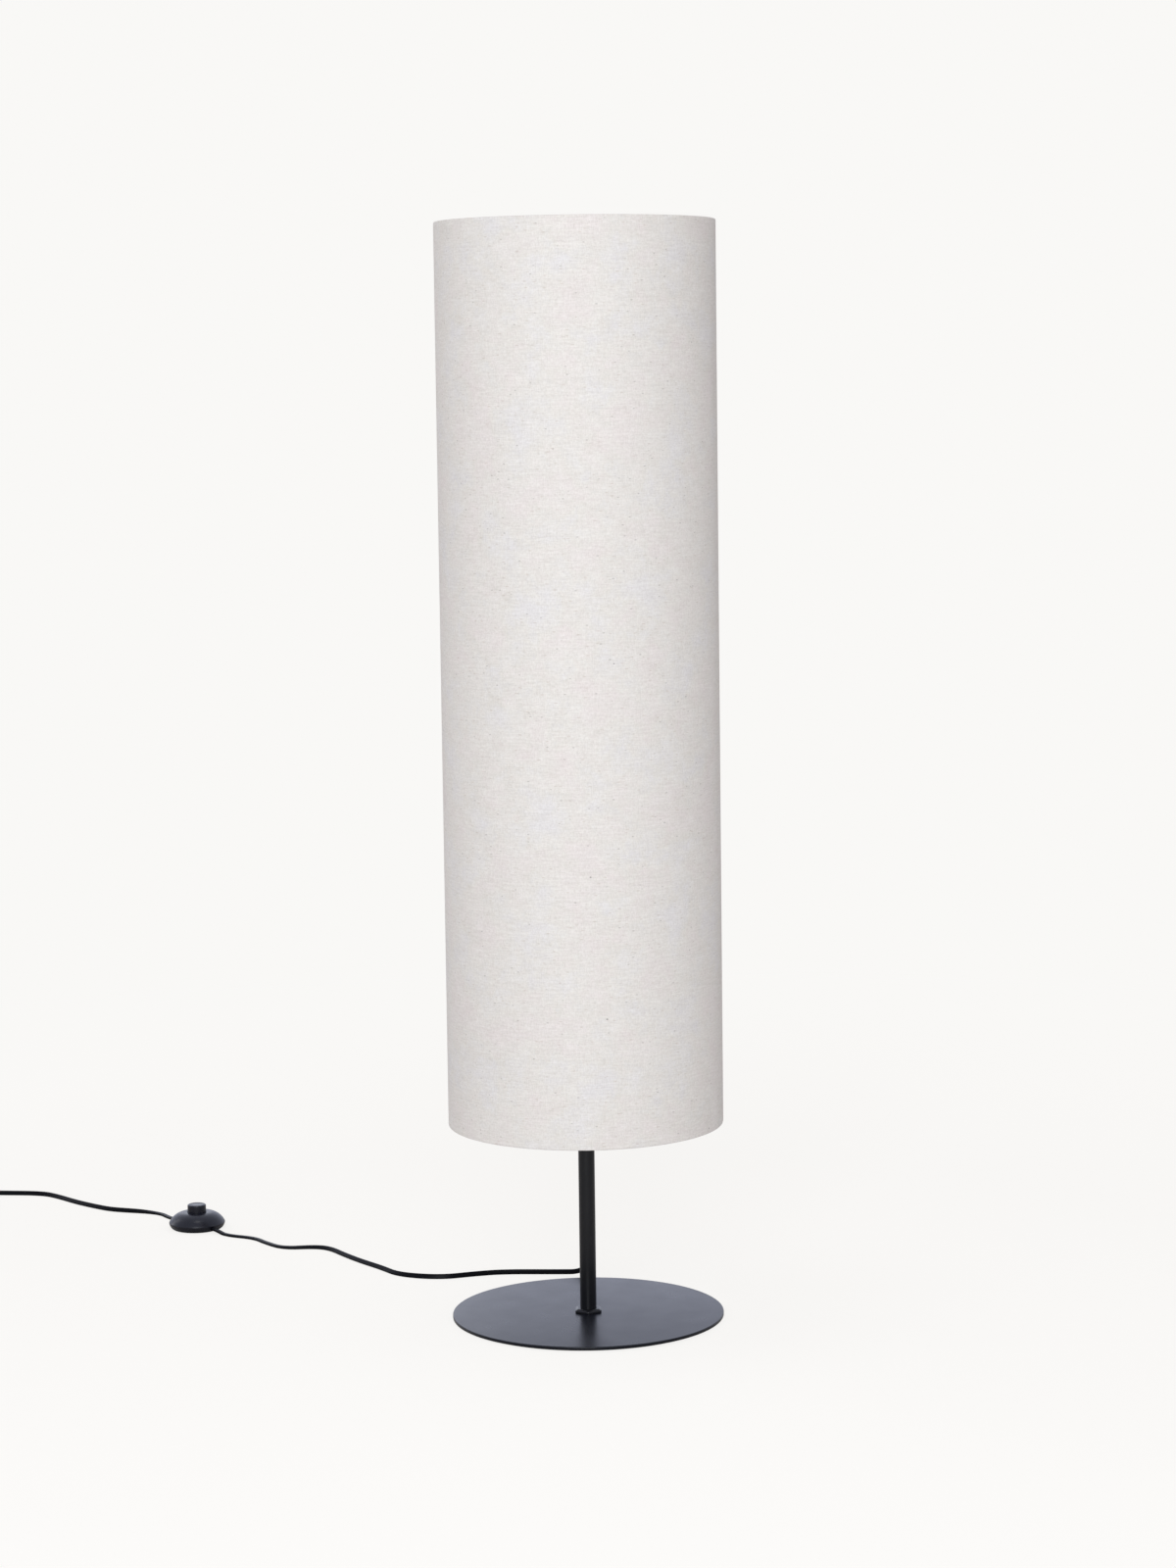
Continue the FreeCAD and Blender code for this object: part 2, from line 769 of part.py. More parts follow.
def make_bulb_globe():
    """Opal globe: part of a sphere, drawn in to meet the housing."""
    def ball(radius, rim, bottom):
        centre = globe_top - globe_radius
        sag = centre - bottom
        start = V(rim, 0, bottom)
        side = V(radius, 0, centre)
        mid = V((rim + radius) / 2 + globe_neck_bulge, 0, centre - sag * globe_neck_level)
        edges = [
            Part.LineSegment(V(0, 0, bottom), start).toShape(),
            arc_through(start, mid, side),
            arc_through(side, V(radius * math.sqrt(0.5), 0, centre + radius * math.sqrt(0.5)),
                        V(0, 0, centre + radius)),
            Part.LineSegment(V(0, 0, centre + radius), V(0, 0, bottom)).toShape(),
        ]
        return revolved(edges)

    outside = ball(globe_radius, housing_radius, housing_top)
    inside = ball(globe_radius - globe_wall, housing_radius - globe_wall, housing_top)
    return outside.cut(inside)


# ---------------------------------------------------------------- foot switch
def switch_profile(step):
    """Outside of the switch, or that outline set in by a wall: foot, belly, shoulder, collar."""
    slant = step * math.sqrt(0.5)
    foot = V(switch_foot_radius - step, 0, 0)
    knee = V(switch_knee_radius - step, 0, switch_knee)
    belly = V(switch_radius - step, 0, switch_belly)
    shoulder = V(switch_shoulder_radius - slant, 0, switch_shoulder - slant)
    collar = V(switch_top_radius, 0, switch_top - step)
    return foot, knee, belly, shoulder, collar


def switch_body(step):
    """Closed solid of the switch's outside, or of its inside where step is the wall."""
    foot, knee, belly, shoulder, collar = switch_profile(step)
    edges = [
        Part.LineSegment(V(0, 0, 0), foot).toShape(),
        arc_through(foot, knee, belly),
        arc_through(belly, shoulder, collar),
        Part.LineSegment(collar, V(0, 0, collar.z)).toShape(),
        Part.LineSegment(V(0, 0, collar.z), V(0, 0, 0)).toShape(),
    ]
    return revolved(edges, switch_centre)


def switch_ports():
    """Cord-sized channels on the line through the switch."""
    reach = switch_radius + 5
    ports = []
    for side in (-1, 1):
        ports.append(rod(cord_radius, at_switch(side * terminal_face, port_height),
                         at_switch(side * reach, port_height)))
    return ports


def switch_screw_places():
    across = V(-switch_way.y, switch_way.x, 0)
    return [switch_centre + across * switch_screw_offset, switch_centre - across * switch_screw_offset]


def make_switch_base():
    slab = switch_body(0).common(cylinder(switch_radius, 0, switch_base_thickness, switch_centre))
    boss = cylinder(spring_boss_radius, switch_base_thickness,
                    switch_base_thickness + spring_boss_height, switch_centre)
    base = slab.fuse(boss).removeSplitter()
    for place in switch_screw_places():
        base = base.cut(cylinder(switch_screw_head_radius, -1, switch_screw_head_height, place))
        base = base.cut(cylinder(switch_screw_radius, -1, switch_base_thickness + 1, place))
    return base.cut(switch_ports())


def make_switch_cover():
    """Domed shell with a hole for the button and two posts for the screws."""
    above = cylinder(switch_radius + 1, switch_base_thickness, switch_top + 1, switch_centre)
    solid = switch_body(0)
    hollow = switch_body(switch_wall)
    shell = solid.cut(hollow).common(above)
    posts = [cylinder(switch_post_radius, switch_base_thickness, switch_top, place).common(solid)
             for place in switch_screw_places()]
    cover = fused([shell] + posts)
    cover = cover.cut(cylinder(button_radius + button_play, 0, switch_top + 1, switch_centre))
    for place in switch_screw_places():
        cover = cover.cut(cylinder(switch_screw_radius, 0, screw_tip, place))
    return cover.cut(switch_ports())


def make_switch_screws():
    screws = []
    for place in switch_screw_places():
        head = cylinder(switch_screw_head_radius, fit_gap, switch_screw_head_height, place)
        shank = cylinder(switch_screw_radius, switch_screw_head_height, screw_tip, place)
        screws.append(head.fuse(shank).removeSplitter())
    return Part.makeCompound(screws)


def make_switch_terminals():
    blocks = []
    for side in (-1, 1):
        middle = at_switch(side * (terminal_face - terminal_block_length / 2), 0)
        blocks.append(box_about(middle, switch_way, terminal_block_length, terminal_block_width,
                                switch_base_thickness, terminal_block_top))
    return Part.makeCompound(blocks)


def make_contact_blades():
    """Fixed contacts: a strip on each terminal block that reaches under the moving ring."""
    blades = []
    outer = terminal_face - blade_inset
    for side in (-1, 1):
        middle = at_switch(side * (outer + blade_reach) / 2, 0)
        blades.append(box_about(middle, switch_way, outer - blade_reach, blade_width,
                                terminal_block_top, blade_top))
    return Part.makeCompound(blades)


def make_switch_button():
    """Cup-shaped button with a rounded top edge and a flange that keeps it in the cover."""
    cup = cylinder(button_radius, flange_bottom, button_top, switch_centre)
    rims = [edge for edge in cup.Edges
            if len(edge.Vertexes) == 1 and edge.Vertexes[0].Z > button_top - fit_gap]
    cup = cup.makeFillet(button_round, rims)
    flange = cylinder(button_flange_radius, flange_bottom, flange_bottom + button_flange_thickness,
                      switch_centre)
    hollow = cylinder(button_radius - button_wall, flange_bottom - 1, button_top - button_wall,
                      switch_centre)
    return cup.fuse(flange).removeSplitter().cut(hollow)


def make_contact_ring():
    return tube(button_flange_radius, bridge_inner_radius, bridge_bottom, flange_bottom, switch_centre)


def make_switch_spring():
    """Compression spring between the base and the button's roof, as half turns of round wire."""
    bottom = switch_base_thickness + spring_wire_radius
    top = button_top - button_wall - spring_wire_radius
    rise = (top - bottom) / spring_turns
    track = spring_radius - spring_wire_radius
    count = 4 * spring_turns
    points = []
    ways = []
    for k in range(count + 1):
        angle = math.pi / 2 * k
        points.append(switch_centre + V(track * math.cos(angle), track * math.sin(angle),
                                        bottom + rise * k / 4))
        ways.append(V(-track * math.sin(angle), track * math.cos(angle), rise / (2 * math.pi)).normalize())
    edges = []
    for a, way_a, b, way_b in zip(points, ways, points[1:], ways[1:]):
        edges += biarc(a, way_a, b, way_b)
    return swept(edges, spring_wire_radius)


# ---------------------------------------------------------------- cord
def biarc(start, way_in, end, way_out):
    """Two arcs that leave start along way_in, meet smoothly and reach end along way_out."""
    chord = end - start
    ways = way_in + way_out
    along = chord.dot(ways)
    spread = 2 * (1 - way_in.dot(way_out))
    if spread < 1e-9:
        reach = chord.Length / 4
    else:
        reach = (math.sqrt(along ** 2 + 2 * (1 - way_in.dot(way_out)) * chord.dot(chord)) - along) / spread
    corner_a = start + way_in * reach
    corner_b = end - way_out * reach
    join = (corner_a + corner_b) * 0.5
    return [
        arc_through(start, quadrant_blend(start, corner_a, join), join),
        arc_through(join, quadrant_blend(join, corner_b, end), end),
    ]


def coil_point(turn):
    """Place on the coil after that many turns: in along the lower layer, out along the upper one."""
    from_middle = turn - coil_turns / 2
    radius = coil_mean_radius - coil_reach + coil_pitch * abs(from_middle)
    climb = min(max(2 * from_middle + 0.5, 0.0), 1.0)
    height = coil_rest + coil_pitch * climb
    angle = math.pi / 2 + 2 * math.pi * turn
    return V(coil_x + radius * math.cos(angle), coil_y + radius * math.sin(angle), height)


def make_cord_coil():
    """Spare cord wound into two layers of flat turns, with a short straight run at each end."""
    step = 0.125
    count = round(coil_turns / step)
    points = [coil_point(k * step) for k in range(count + 1)]
    probe = 1e-4
    ways = [(coil_point(k * step + probe) - coil_point(k * step - probe)).normalize()
            for k in range(count + 1)]
    ways[0] = V(-1, 0, 0)
    ways[-1] = V(0, -1, 0)
    edges = [Part.LineSegment(coil_start, points[0]).toShape()]
    for a, way_a, b, way_b in zip(points, ways, points[1:], ways[1:]):
        edges += biarc(a, way_a, b, way_b)
    edges.append(Part.LineSegment(points[-1], coil_end).toShape())
    solid = swept(edges, cord_radius)
    length = sum(edge.Length for edge in edges)
    expected = math.pi * cord_radius ** 2 * length
    print(f"cord_coil: length {length:.1f} mm, volume over section x length {solid.Volume / expected:.5f},"
          f" least gap between turns {coil_gap(edges):.2f} mm")
    return solid


def coil_gap(edges):
    """Least distance between turns, from points along the centre line half a turn or more apart."""
    samples = []
    run = 0.0
    for edge in edges:
        pieces = max(2, int(edge.Length / 2))
        for k in range(pieces):
            at = edge.FirstParameter + (edge.LastParameter - edge.FirstParameter) * k / pieces
            samples.append((run + edge.Length * k / pieces, edge.valueAt(at)))
        run += edge.Length
    apart = math.pi * (coil_mean_radius - coil_reach)
    least = min(a.distanceToPoint(b) for i, (s, a) in enumerate(samples)
                for t, b in samples[i + 1:] if t - s > apart)
    return least - 2 * cord_radius


def make_cord_tie():
    """Flat strap closed round the coil's turns."""
    inner_near = coil_mean_radius - coil_reach - cord_radius - coil_tie_gap
    inner_far = coil_outer + cord_radius + coil_tie_gap
    inner_low = tie_thickness
    inner_high = coil_rest + coil_pitch + cord_radius + coil_tie_gap
    left = coil_x - tie_width / 2

    def block(grow, corner):
        low = V(left, coil_y - inner_far - grow, inner_low - grow)
        size_y = inner_far - inner_near + 2 * grow
        size_z = inner_high - inner_low + 2 * grow
        body = Part.makeBox(tie_width, size_y, size_z, low)
        rims = [edge for edge in body.Edges
                if abs(edge.tangentAt(edge.FirstParameter).x) > 0.9]
        return body.makeFillet(corner, rims)

    return block(tie_thickness, tie_corner + tie_thickness).cut(block(0, tie_corner))


# ---------------------------------------------------------------- plug
def plug_section(width, thickness, corner, y):
    """Rounded rectangle across the plug at a given place along it."""
    half_w = width / 2 - corner
    half_t = thickness / 2 - corner
    diagonal = corner * math.sqrt(0.5)
    edges = []
    centres = [(1, 1), (-1, 1), (-1, -1), (1, -1)]
    for k, (sx, sz) in enumerate(centres):
        cx = plug_x + sx * half_w
        cz = plug_axis + sz * half_t
        across = V(cx + sx * corner, y, cz)
        upright = V(cx, y, cz + sz * corner)
        middle = V(cx + sx * diagonal, y, cz + sz * diagonal)
        ends = (across, upright) if k % 2 == 0 else (upright, across)
        edges.append(arc_through(ends[0], middle, ends[1]))
        nx, nz = centres[(k + 1) % 4]
        next_x = plug_x + nx * half_w
        next_z = plug_axis + nz * half_t
        if k % 2 == 0:
            following = V(next_x, y, next_z + nz * corner)
        else:
            following = V(next_x + nx * corner, y, next_z)
        edges.append(Part.LineSegment(ends[1], following).toShape())
    return Part.Wire(edges)


def pin_places():
    return [plug_x - pin_spacing / 2, plug_x + pin_spacing / 2]


def make_plug_body():
    """Flat two-pin plug: wide at the front, narrowing to the tail that guards the cord."""
    face = plug_section(plug_width, plug_thickness, plug_corner, plug_front)
    middle = plug_section(plug_waist_width, plug_thickness, plug_corner, plug_front + plug_waist)
    rear = plug_section(plug_back_width, plug_back_thickness, plug_back_corner, plug_back)
    body = Part.makeLoft([face, middle], True, True).fuse(Part.makeLoft([middle, rear], True, True))
    tail = Part.makeCone(plug_tail_radius, plug_tail_end_radius, plug_tail_length,
                         V(plug_x, plug_back, plug_axis), Y_AXIS)
    body = body.fuse(tail).removeSplitter()
    for x in pin_places():
        body = body.cut(rod(pin_core_radius, V(x, plug_front - 1, plug_axis),
                            V(x, plug_front + pin_depth_inside, plug_axis)))
    return body


def make_plug_pins():
    pins = []
    sleeve_end = plug_front - sleeve_length
    pin_end = plug_front - pin_length
    for x in pin_places():
        core = rod(pin_core_radius, V(x, plug_front + pin_depth_inside, plug_axis),
                   V(x, sleeve_end, plug_axis))
        tip = rod(pin_radius, V(x, sleeve_end, plug_axis), V(x, pin_end, plug_axis))
        rims = [edge for edge in tip.Edges
                if len(edge.Vertexes) == 1 and edge.Vertexes[0].Y < pin_end + fit_gap]
        tip = tip.makeFillet(pin_tip_round, rims)
        pins.append(core.fuse(tip).removeSplitter())
    return Part.makeCompound(pins)


def make_pin_sleeves():
    sleeves = []
    sleeve_end = plug_front - sleeve_length
    for x in pin_places():
        outer = rod(pin_radius, V(x, plug_front, plug_axis), V(x, sleeve_end, plug_axis))
        bore = rod(pin_core_radius, V(x, plug_front + 1, plug_axis), V(x, sleeve_end - 1, plug_axis))
        sleeves.append(outer.cut(bore))
    return Part.makeCompound(sleeves)


# ---------------------------------------------------------------- write the pieces
pieces = {
    "base_pad": make_base_pad(),
    "base_plate": make_base_plate(),
    "base_screw": make_base_screw(),
    "pole_foot": make_pole_foot(),
    "lower_pole": make_lower_pole(),
    "pole_coupler": make_pole_coupler(),
    "upper_pole": make_upper_pole(),
    "pole_top_plug": make_pole_top_plug(),
    "pole_nipple": make_pole_nipple(),
    "cord_bush": make_cord_bush(),
    "inner_lead": make_inner_lead(),
    "holder_dome": make_holder_dome(),
    "holder_grub_screw": make_holder_grub_screw(),
    "holder_core": make_holder_core(),
    "terminal_screws": make_terminal_screws(),
    "holder_shell": make_holder_shell(),
    "screw_shell": make_screw_shell(),
    "centre_contact": make_centre_contact(),
    "side_contact": make_side_contact(),
    "lower_shade_ring": make_lower_shade_ring(),
    "upper_shade_ring": make_upper_shade_ring(),
    "ring_washer": make_ring_washer(),
    "carrier_hub": make_carrier_hub(),
    "carrier_arms": make_carrier_arms(),
    "carrier_ring": make_shade_ring((hub_bottom + hub_top) / 2),
    "shade_top_ring": make_shade_ring(shade_top - hem_outer),
    "shade_bottom_ring": make_shade_ring(shade_bottom + hem_outer),
    "shade_liner": make_shade_liner(),
    "shade_fabric": make_shade_fabric(),
    "bulb_contact": make_bulb_contact(),
    "bulb_insulator": make_bulb_insulator(),
    "bulb_cap": make_bulb_cap(),
    "bulb_housing": make_bulb_housing(),
    "led_board": make_led_board(),
    "bulb_globe": make_bulb_globe(),
    "switch_base": make_switch_base(),
    "switch_cover": make_switch_cover(),
    "switch_screws": make_switch_screws(),
    "switch_terminals": make_switch_terminals(),
    "contact_blades": make_contact_blades(),
    "contact_ring": make_contact_ring(),
    "switch_button": make_switch_button(),
    "switch_spring": make_switch_spring(),
    "lamp_cord": cord_tube("lamp_cord", lamp_route),
    "mains_cord": cord_tube("mains_cord", coil_route),
    "cord_coil": make_cord_coil(),
    "plug_lead": cord_tube("plug_lead", plug_route),
    "cord_tie": make_cord_tie(),
    "plug_body": make_plug_body(),
    "plug_pins": make_plug_pins(),
    "pin_sleeves": make_pin_sleeves(),
}

os.makedirs("parts", exist_ok=True)
for name, shape in pieces.items():
    box = shape.BoundBox
    print(f"{name}: {len(shape.Solids)} solid, volume {shape.Volume:.1f} mm3, valid {shape.isValid()},"
          f" z {box.ZMin:.2f} to {box.ZMax:.2f}")
    shape.exportStep(f"parts/{name}.step")
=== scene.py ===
import bmesh
import bpy
import math
import numpy as np
from mathutils import Matrix, Vector


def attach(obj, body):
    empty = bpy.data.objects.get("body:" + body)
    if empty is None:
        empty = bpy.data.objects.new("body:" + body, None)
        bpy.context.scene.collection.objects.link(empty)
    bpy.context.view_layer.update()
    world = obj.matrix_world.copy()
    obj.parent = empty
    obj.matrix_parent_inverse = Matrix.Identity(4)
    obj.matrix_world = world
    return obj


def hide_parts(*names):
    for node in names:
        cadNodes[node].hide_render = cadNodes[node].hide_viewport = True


# A column floor lamp: textile cylinder on a black pole and plate, foot switch on its cord.
# Metres, +Z up, the middle of the plate's underside at the origin.

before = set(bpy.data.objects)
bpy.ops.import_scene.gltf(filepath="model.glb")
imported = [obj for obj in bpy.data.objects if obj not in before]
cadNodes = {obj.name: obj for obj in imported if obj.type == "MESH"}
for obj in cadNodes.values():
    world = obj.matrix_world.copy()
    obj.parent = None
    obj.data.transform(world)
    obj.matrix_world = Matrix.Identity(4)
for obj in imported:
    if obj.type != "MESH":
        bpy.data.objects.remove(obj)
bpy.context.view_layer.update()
scene = bpy.context.scene
scene.view_settings.view_transform = "Standard"
print("stage: packed lamp loaded,", len(cadNodes), "nodes")

# camera
cameraFacts = {
    "place": (0.00583, -3.231, 0.8586),
    "down": 0.1124,         # radians below the horizon
    "roll": -0.0128,
    "focal": 3652.0,        # in pixels of the picture's long side
    "longSide": 1600.0,
    "sensor": 36.0,
}


def addCamera(place, down, roll, focal, longSide, sensor):
    # forward and up follow the tilt; right and up are then turned about the view line by the roll
    tiltCos, tiltSin = math.cos(down), math.sin(down)
    rollCos, rollSin = math.cos(roll), math.sin(roll)
    right, forward = np.array([1.0, 0, 0]), np.array([0, tiltCos, -tiltSin])
    up = np.array([0, tiltSin, tiltCos])
    axes = np.eye(4)
    axes[:3, 0] = rollCos * right + rollSin * up
    axes[:3, 1] = rollCos * up - rollSin * right
    axes[:3, 2] = -forward
    axes[:3, 3] = place
    data = bpy.data.cameras.new("camera")
    data.sensor_width = sensor
    data.lens = focal / longSide * sensor
    data.clip_start, data.clip_end = 0.05, 80
    camera = bpy.data.objects.new("camera", data)
    scene.collection.objects.link(camera)
    camera.matrix_world = Matrix(axes.tolist())
    scene.camera = camera


addCamera(**cameraFacts)


# shader tools
class Wire:                 # a socket's value: an expression on it adds its Math nodes
    def __init__(self, finish, socket):
        self.finish, self.socket = finish, socket

    def maths(self, kind, *values):
        return self.finish.node("ShaderNodeMath", {"operation": kind}, dict(enumerate(values)))

    def __add__(self, other):
        return self.maths("ADD", self, other)

    def __sub__(self, other):
        return self.maths("SUBTRACT", self, other)

    def __rsub__(self, other):
        return self.maths("SUBTRACT", other, self)

    def __mul__(self, other):
        return self.maths("MULTIPLY", self, other)

    __radd__ = __add__
    __rmul__ = __mul__

    def clipped(self):
        return self.maths("MINIMUM", self.maths("MAXIMUM", self, 0.0), 1.0)


class Finish:               # one material: a Principled shader and the nodes that feed it
    def __init__(self, name, **constants):
        self.material = bpy.data.materials.new(name)
        self.material.use_nodes = True
        self.tree = self.material.node_tree
        self.shader = next(n for n in self.tree.nodes if n.type == "BSDF_PRINCIPLED")
        for key, value in constants.items():
            self.shader.inputs[key.replace("_", " ")].default_value = value

    def node(self, kind, settings, sockets, out=0):
        made = self.tree.nodes.new(kind)
        for key, value in settings.items():
            if key == "stops":
                for stop, (place, shade) in zip(made.color_ramp.elements, value):
                    stop.position, stop.color = place, (shade, shade, shade, 1)
            else:
                setattr(made, key, value)
        for key, value in sockets.items():
            if isinstance(value, Wire):
                self.tree.links.new(value.socket, made.inputs[key])
            else:
                made.inputs[key].default_value = value
        return Wire(self, made.outputs[out])

    def place(self, stretch=(1, 1, 1), uv=False):
        coords = self.node("ShaderNodeTexCoord", {}, {}, "UV" if uv else "Object")
        return self.node("ShaderNodeMapping", {}, {"Vector": coords, "Scale": stretch})

    def noise(self, where, scale, detail=2.0, rough=0.5):
        return self.node("ShaderNodeTexNoise", {},
                         {"Vector": where, "Scale": scale, "Detail": detail, "Roughness": rough})

    def ramp(self, value, low, high, start=0.0, end=1.0):
        return self.node("ShaderNodeValToRGB", {"stops": [(low, start), (high, end)]}, {"Fac": value})

    def tint(self, share, first, second, kind="MIX"):
        colour = [c if isinstance(c, Wire) else (*c, 1.0) for c in (first, second)]
        return self.node("ShaderNodeMix", {"data_type": "RGBA", "blend_type": kind},
                         {0: share, 6: colour[0], 7: colour[1]}, 2)

    def bump(self, height, strength, distance=0.001):
        return self.node("ShaderNodeBump", {},
                         {"Height": height, "Strength": strength, "Distance": distance})

    def feed(self, **sockets):
        for key, value in sockets.items():
            self.tree.links.new(value.socket, self.shader.inputs[key.replace("_", " ")])
        return self.material


# finishes
def powderCoat(name, colour, rough, level=0.5, peelDepth=0.07):
    # tone = colour lifted a little by broad noise; roughness = rough +- broad noise;
    # height = fine orange peel of about a millimetre over a slower swell
    finish = Finish(name, Specular_IOR_Level=level)
    where = finish.place()
    broad = finish.noise(where, 34.0, 3.0)
    peel = finish.noise(where, 1100.0, 2.0)
    swell = finish.noise(where, 210.0, 2.0)
    lighter = [c * 1.5 + 0.0006 for c in colour]
    return finish.feed(
        Base_Color=finish.tint(broad, colour, lighter),
        Roughness=rough - 0.05 + broad * 0.1 + peel * 0.02,
        Normal=finish.bump(peel * 0.6 + swell, peelDepth, 0.0004))


def mouldedPlastic(name, colour, rough, level=0.5, grain=2600.0):
    # tone = colour with cloudy and speckled parts; height = spark-eroded grain
    finish = Finish(name, Specular_IOR_Level=level)
    where = finish.place()
    cloud = finish.noise(where, 75.0, 3.0)
    speck = finish.noise(where, grain, 1.0)
    lighter = [c * 1.35 + 0.001 for c in colour]
    return finish.feed(
        Base_Color=finish.tint(cloud * 0.7 + speck * 0.3, colour, lighter),
        Roughness=rough - 0.06 + cloud * 0.12,
        Normal=finish.bump(speck, 0.12, 0.0003))


def turnedMetal(name, colour, rough, stretch=(1, 1, 26)):
    # streaks = noise squeezed along one axis, as a lathe or brush leaves them; dull spots over them
    finish = Finish(name, Metallic=1.0)
    streak = finish.noise(finish.place(stretch), 90.0, 3.0)
    spots = finish.noise(finish.place(), 260.0, 2.0)
    dark = [c * 0.72 for c in colour]
    return finish.feed(
        Base_Color=finish.tint(streak * 0.6 + spots * 0.4, dark, colour),
        Roughness=rough - 0.08 + spots * 0.2,
        Normal=finish.bump(streak, 0.1, 0.0002))


def softFoam(name, colour, rough):
    # height = closed cells of half a millimetre; tone = darker in the cells' walls
    finish = Finish(name)
    where = finish.place()
    cells = finish.node("ShaderNodeTexVoronoi", {}, {"Vector": where, "Scale": 1900.0})
    cloud = finish.noise(where, 60.0)
    lighter = [c * 1.6 + 0.004 for c in colour]
    return finish.feed(
        Base_Color=finish.tint(cells * 0.6 + cloud * 0.4, colour, lighter),
        Roughness=rough + cloud * 0.08,
        Normal=finish.bump(cells, 0.4, 0.0004))


def wovenCloth(name, pitch, contrast, grain, flecks, pink, green, blue, light, dark, bright):
    # threads: height = two crossed rows of half-round threads, one over the other in turn
    # tones: noises drawn out across for the weft and upright for the warp, coarse ones for slubs over
    # fine ones for threads, added up about one half and spread by the contrast
    # flecks: the middles of a few scattered cells; hue: a slow noise between pink, green and blue greys
    finish = Finish(name, Sheen_Weight=0.22, Sheen_Roughness=0.45, Specular_IOR_Level=0.1)
    where = finish.place(uv=True)
    across, along = (finish.node("ShaderNodeSeparateXYZ", {}, {0: where}, axis) for axis in "XY")
    warp = (across * (math.pi / pitch)).maths("SINE", across * (math.pi / pitch))
    weft = along.maths("SINE", along * (math.pi / pitch))
    warp, weft = warp.maths("ABSOLUTE", warp), weft.maths("ABSOLUTE", weft)
    over = across.maths("FLOOR", across * (1 / pitch)) + along.maths("FLOOR", along * (1 / pitch))
    over = over.maths("MODULO", over.maths("ABSOLUTE", over), 2.0)
    height = warp * over + weft * (1 - over)
    tones = 0.0
    for stretch, scale, share in grain:
        tones = finish.noise(finish.place(stretch, uv=True), scale, 2.0, 0.55) * share + tones
    threads = ((tones - 0.5) * contrast + 0.5).clipped()
    hue = finish.noise(where, 21.0, 5.0, 0.68)
    ground = finish.tint(finish.ramp(hue, 0.36, 0.52), pink, green)
    ground = finish.tint(finish.ramp(hue, 0.5, 0.66), ground, blue)
    ground = finish.tint(finish.ramp(finish.noise(where, 48.0, 3.0, 0.65), 0.3, 0.7) * 0.5, ground, light)
    ground = finish.tint(threads, finish.tint(0.5, ground, dark), finish.tint(0.45, ground, bright))
    for stretch, scale, share, wide, depth, colour in flecks:
        spot = {"Vector": finish.place(stretch, uv=True), "Scale": scale}
        chance = finish.node("ShaderNodeTexVoronoi", {}, spot, "Color")
        middle = finish.node("ShaderNodeTexVoronoi", {}, spot, "Distance")
        fleck = ((wide - middle) * (2.5 / wide)).clipped() * finish.ramp(chance, 1 - share, 1.02 - share)
        ground = finish.tint(fleck * depth, ground, colour)
    return finish.feed(
        Base_Color=ground,
        Roughness=0.86 + threads * 0.08,
        Normal=finish.bump(height * 0.6 + threads * 0.7, 0.35, 0.0003))


def linerSheet(name, colour):
    # tone = colour with faint upright bands; height = slow ripples of the sheet behind the cloth
    finish = Finish(name, Specular_IOR_Level=0.4)
    bands = finish.noise(finish.place((1, 1, 0.12)), 22.0, 2.0)
    fibre = finish.noise(finish.place((1, 1, 6)), 500.0, 2.0)
    shade = [c * 0.93 for c in colour]
    return finish.feed(
        Base_Color=finish.tint(bands * 0.7 + fibre * 0.3, shade, colour),
        Roughness=0.42 + bands * 0.12,
        Normal=finish.bump(bands + fibre * 0.2, 0.12, 0.001))


def opalShell(name, colour, rough):
    # tone = milky white, a little warmer in slow clouds; height = a very fine frosting
    finish = Finish(name, Specular_IOR_Level=0.45)
    where = finish.place()
    cloud = finish.noise(where, 28.0, 2.0)
    frost = finish.noise(where, 3000.0, 1.0)
    warm = [colour[0], colour[1] * 0.985, colour[2] * 0.95]
    return finish.feed(
        Base_Color=finish.tint(cloud, warm, colour),
        Roughness=rough + frost * 0.08,
        Normal=finish.bump(frost, 0.06, 0.0002))


def flexSheath(name, colour, rough, level):
    # lengthwise drawing marks = noise stretched along the cord's own map, with dull patches
    finish = Finish(name, Specular_IOR_Level=level, IOR=1.33)
    marks = finish.noise(finish.place((24, 6, 1), uv=True), 1.0, 3.0)
    patch = finish.noise(finish.place(), 55.0, 3.0)
    grain = finish.noise(finish.place(), 1800.0, 1.0)
    lighter = [c * 1.5 + 0.001 for c in colour]
    return finish.feed(
        Base_Color=finish.tint(patch * 0.6 + marks * 0.4, colour, lighter),
        Roughness=rough - 0.06 + patch * 0.12 + marks * 0.06,
        Normal=finish.bump(marks * 0.6 + grain * 0.4, 0.12, 0.0003))


clothFacts = {
    "pitch": 0.00046,       # from thread to thread
    "contrast": 3.15,
    "grain": [              # stretch, scale, share
        ((1, 7, 1), 75.0, 0.25), ((1, 3, 1), 300.0, 0.26), ((6, 1, 1), 85.0, 0.16), ((3, 1, 1), 330.0, 0.32),
        ((1, 2.5, 1), 30.0, 0.09)],
    "flecks": [             # stretch, scale, share of cells, width in cells, strength, colour
        ((1, 2.0, 1), 150.0, 0.24, 0.20, 0.42, (0.30, 0.27, 0.26)),
        ((1, 3.2, 1), 120.0, 0.30, 0.24, 0.30, (0.46, 0.37, 0.31)),
        ((1, 1.2, 1), 45.0, 0.18, 0.05, 0.70, (0.20, 0.17, 0.17))],
    "pink": (0.784, 0.708, 0.695),
    "green": (0.757, 0.731, 0.674),
    "blue": (0.747, 0.735, 0.762),
    "light": (0.820, 0.795, 0.784),
    "dark": (0.482, 0.446, 0.425),
    "bright": (0.912, 0.897, 0.890),
}

